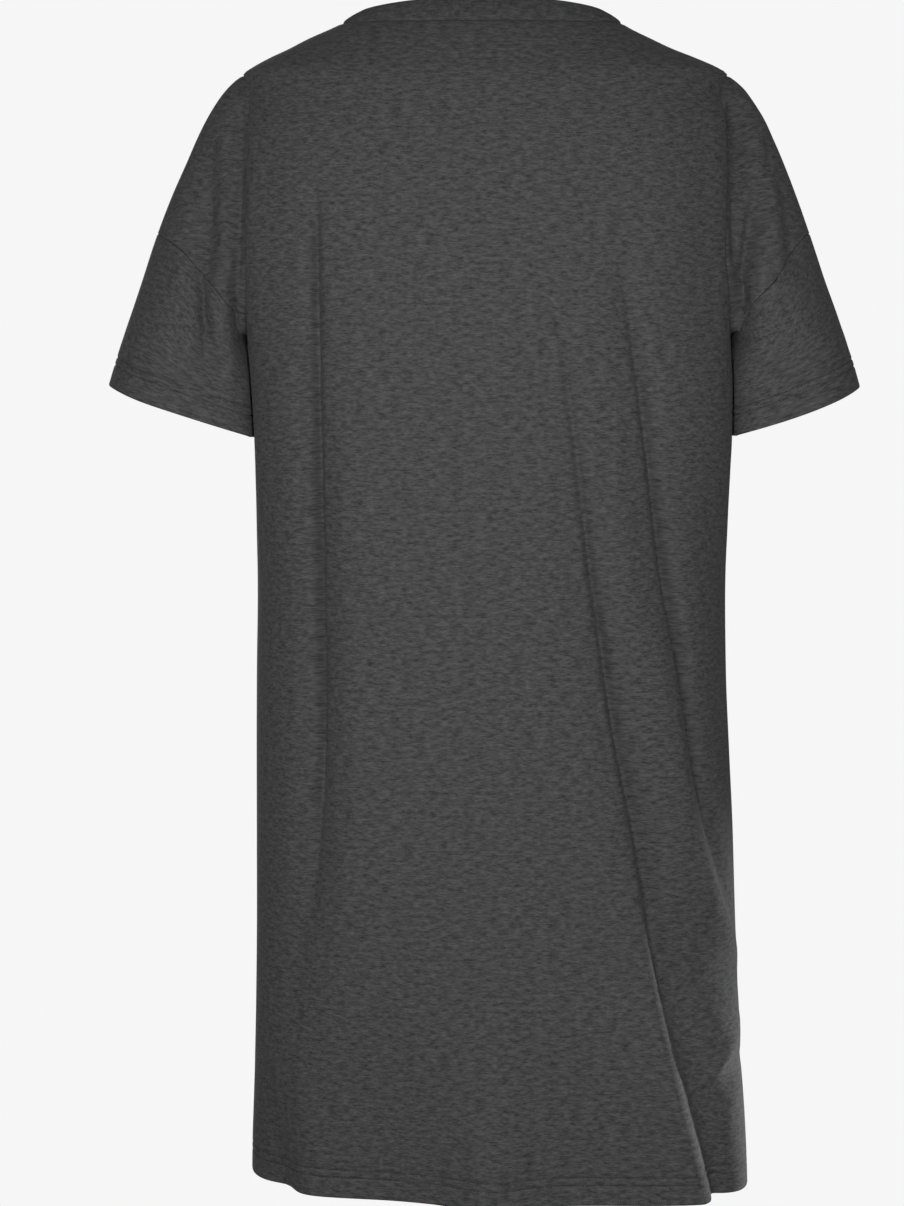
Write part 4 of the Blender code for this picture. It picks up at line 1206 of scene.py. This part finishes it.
top = len(heights) - 1
ring = np.concatenate([body_back[top], body_front[top, -2:0:-1]])
# The rib's two shades are a little darker than the jersey's, though it is the same yarn: painted shade of
# its furrows.
band = neck_rib(places[ring], heather("rib", "#262627", "#4a4a4b", 5.9))
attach(band, "root")
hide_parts("neckband")


def hang(name, data, place, towards):
    """Hangs a lamp at a place and turns it to where it shines."""
    made = bpy.data.objects.new(name, data)
    made.location = place
    aim = Vector(np.array(towards) - np.array(place))
    made.rotation_euler = aim.to_track_quat("-Z", "Y").to_euler()
    bpy.context.scene.collection.objects.link(made)
    return made


def lamp(name, place, towards, wide, tall, power):
    """A large soft lamp, which the camera doesn't see."""
    data = bpy.data.lights.new(name, "AREA")
    data.shape = "RECTANGLE"
    data.size = wide
    data.size_y = tall
    data.energy = power
    hang(name, data, place, towards).visible_camera = False


def spot(name, place, towards, degrees, power):
    """A soft-edged lamp whose cone reaches only part of the nightshirt."""
    data = bpy.data.lights.new(name, "SPOT")
    data.energy = power
    data.spot_size = np.radians(degrees)
    data.spot_blend = 1.0
    data.shadow_soft_size = 0.10
    hang(name, data, place, towards)


floor_mesh = bpy.data.meshes.new("floor")
reach = FLOOR_REACH
flat = [(-reach, -reach), (reach, -reach), (reach, reach), (-reach, reach)]
floor_mesh.from_pydata([(x, y, FLOOR_HEIGHT) for x, y in flat], [], [(0, 1, 2, 3)])
floor = bpy.data.objects.new("floor", floor_mesh)
bpy.context.scene.collection.objects.link(floor)
pale, _, shader = new_material("pale_floor")
give(shader, {"Base Color": (0, 0, 0, 1), "Specular IOR Level": 0})
give(shader, {"Emission Color": linear(PAPER), "Emission Strength": 1})
floor_mesh.materials.append(pale)
floor.visible_diffuse = floor.visible_glossy = False

world = bpy.data.worlds.new("studio")
world.use_nodes = True
bpy.context.scene.world = world
sky = world.node_tree
seen = sky.nodes["Background"]
seen.inputs["Color"].default_value = linear(PAPER)
spill = add(sky, "ShaderNodeBackground", {"Color": linear(PAPER), "Strength": AMBIENT})
direct = add(sky, "ShaderNodeLightPath").outputs["Is Camera Ray"]
both = add(sky, "ShaderNodeMixShader", {0: direct, 1: spill.outputs[0], 2: seen.outputs[0]})
sky.links.new(both.outputs[0], sky.nodes["World Output"].inputs[0])

lamp("middle_light", (0.08, 1.65, -0.22), (0, 0, -0.30), 0.9, 0.8, 21)
lamp("left_light", (1.00, 1.15, -0.28), (0, 0.1, -0.32), 0.6, 0.8, 3.0)
lamp("right_light", (-0.96, 1.15, -0.28), (0, 0.1, -0.32), 0.6, 0.8, 2.6)
spot("right_edge_light", (-0.85, -0.36, -0.86), (-0.19, 0.05, -0.722), 8.5, 110)
spot("low_right_light", (-0.85, -0.32, -0.99), (-0.16, 0.10, -0.872), 12, 85)
lamp("front_light", (0.4, -3.0, 0.1), (0, 0, -0.4), 1.6, 1.6, 60)

camera_data = bpy.data.cameras.new("camera")
camera_data.lens = LENS
camera_data.sensor_width = FILM
camera = bpy.data.objects.new("camera", camera_data)
camera.location = CAMERA_PLACE
camera.rotation_euler = (np.radians(90 - CAMERA_TILT), 0, np.pi)
bpy.context.scene.collection.objects.link(camera)
bpy.context.scene.camera = camera
bpy.context.scene.view_settings.view_transform = "Standard"
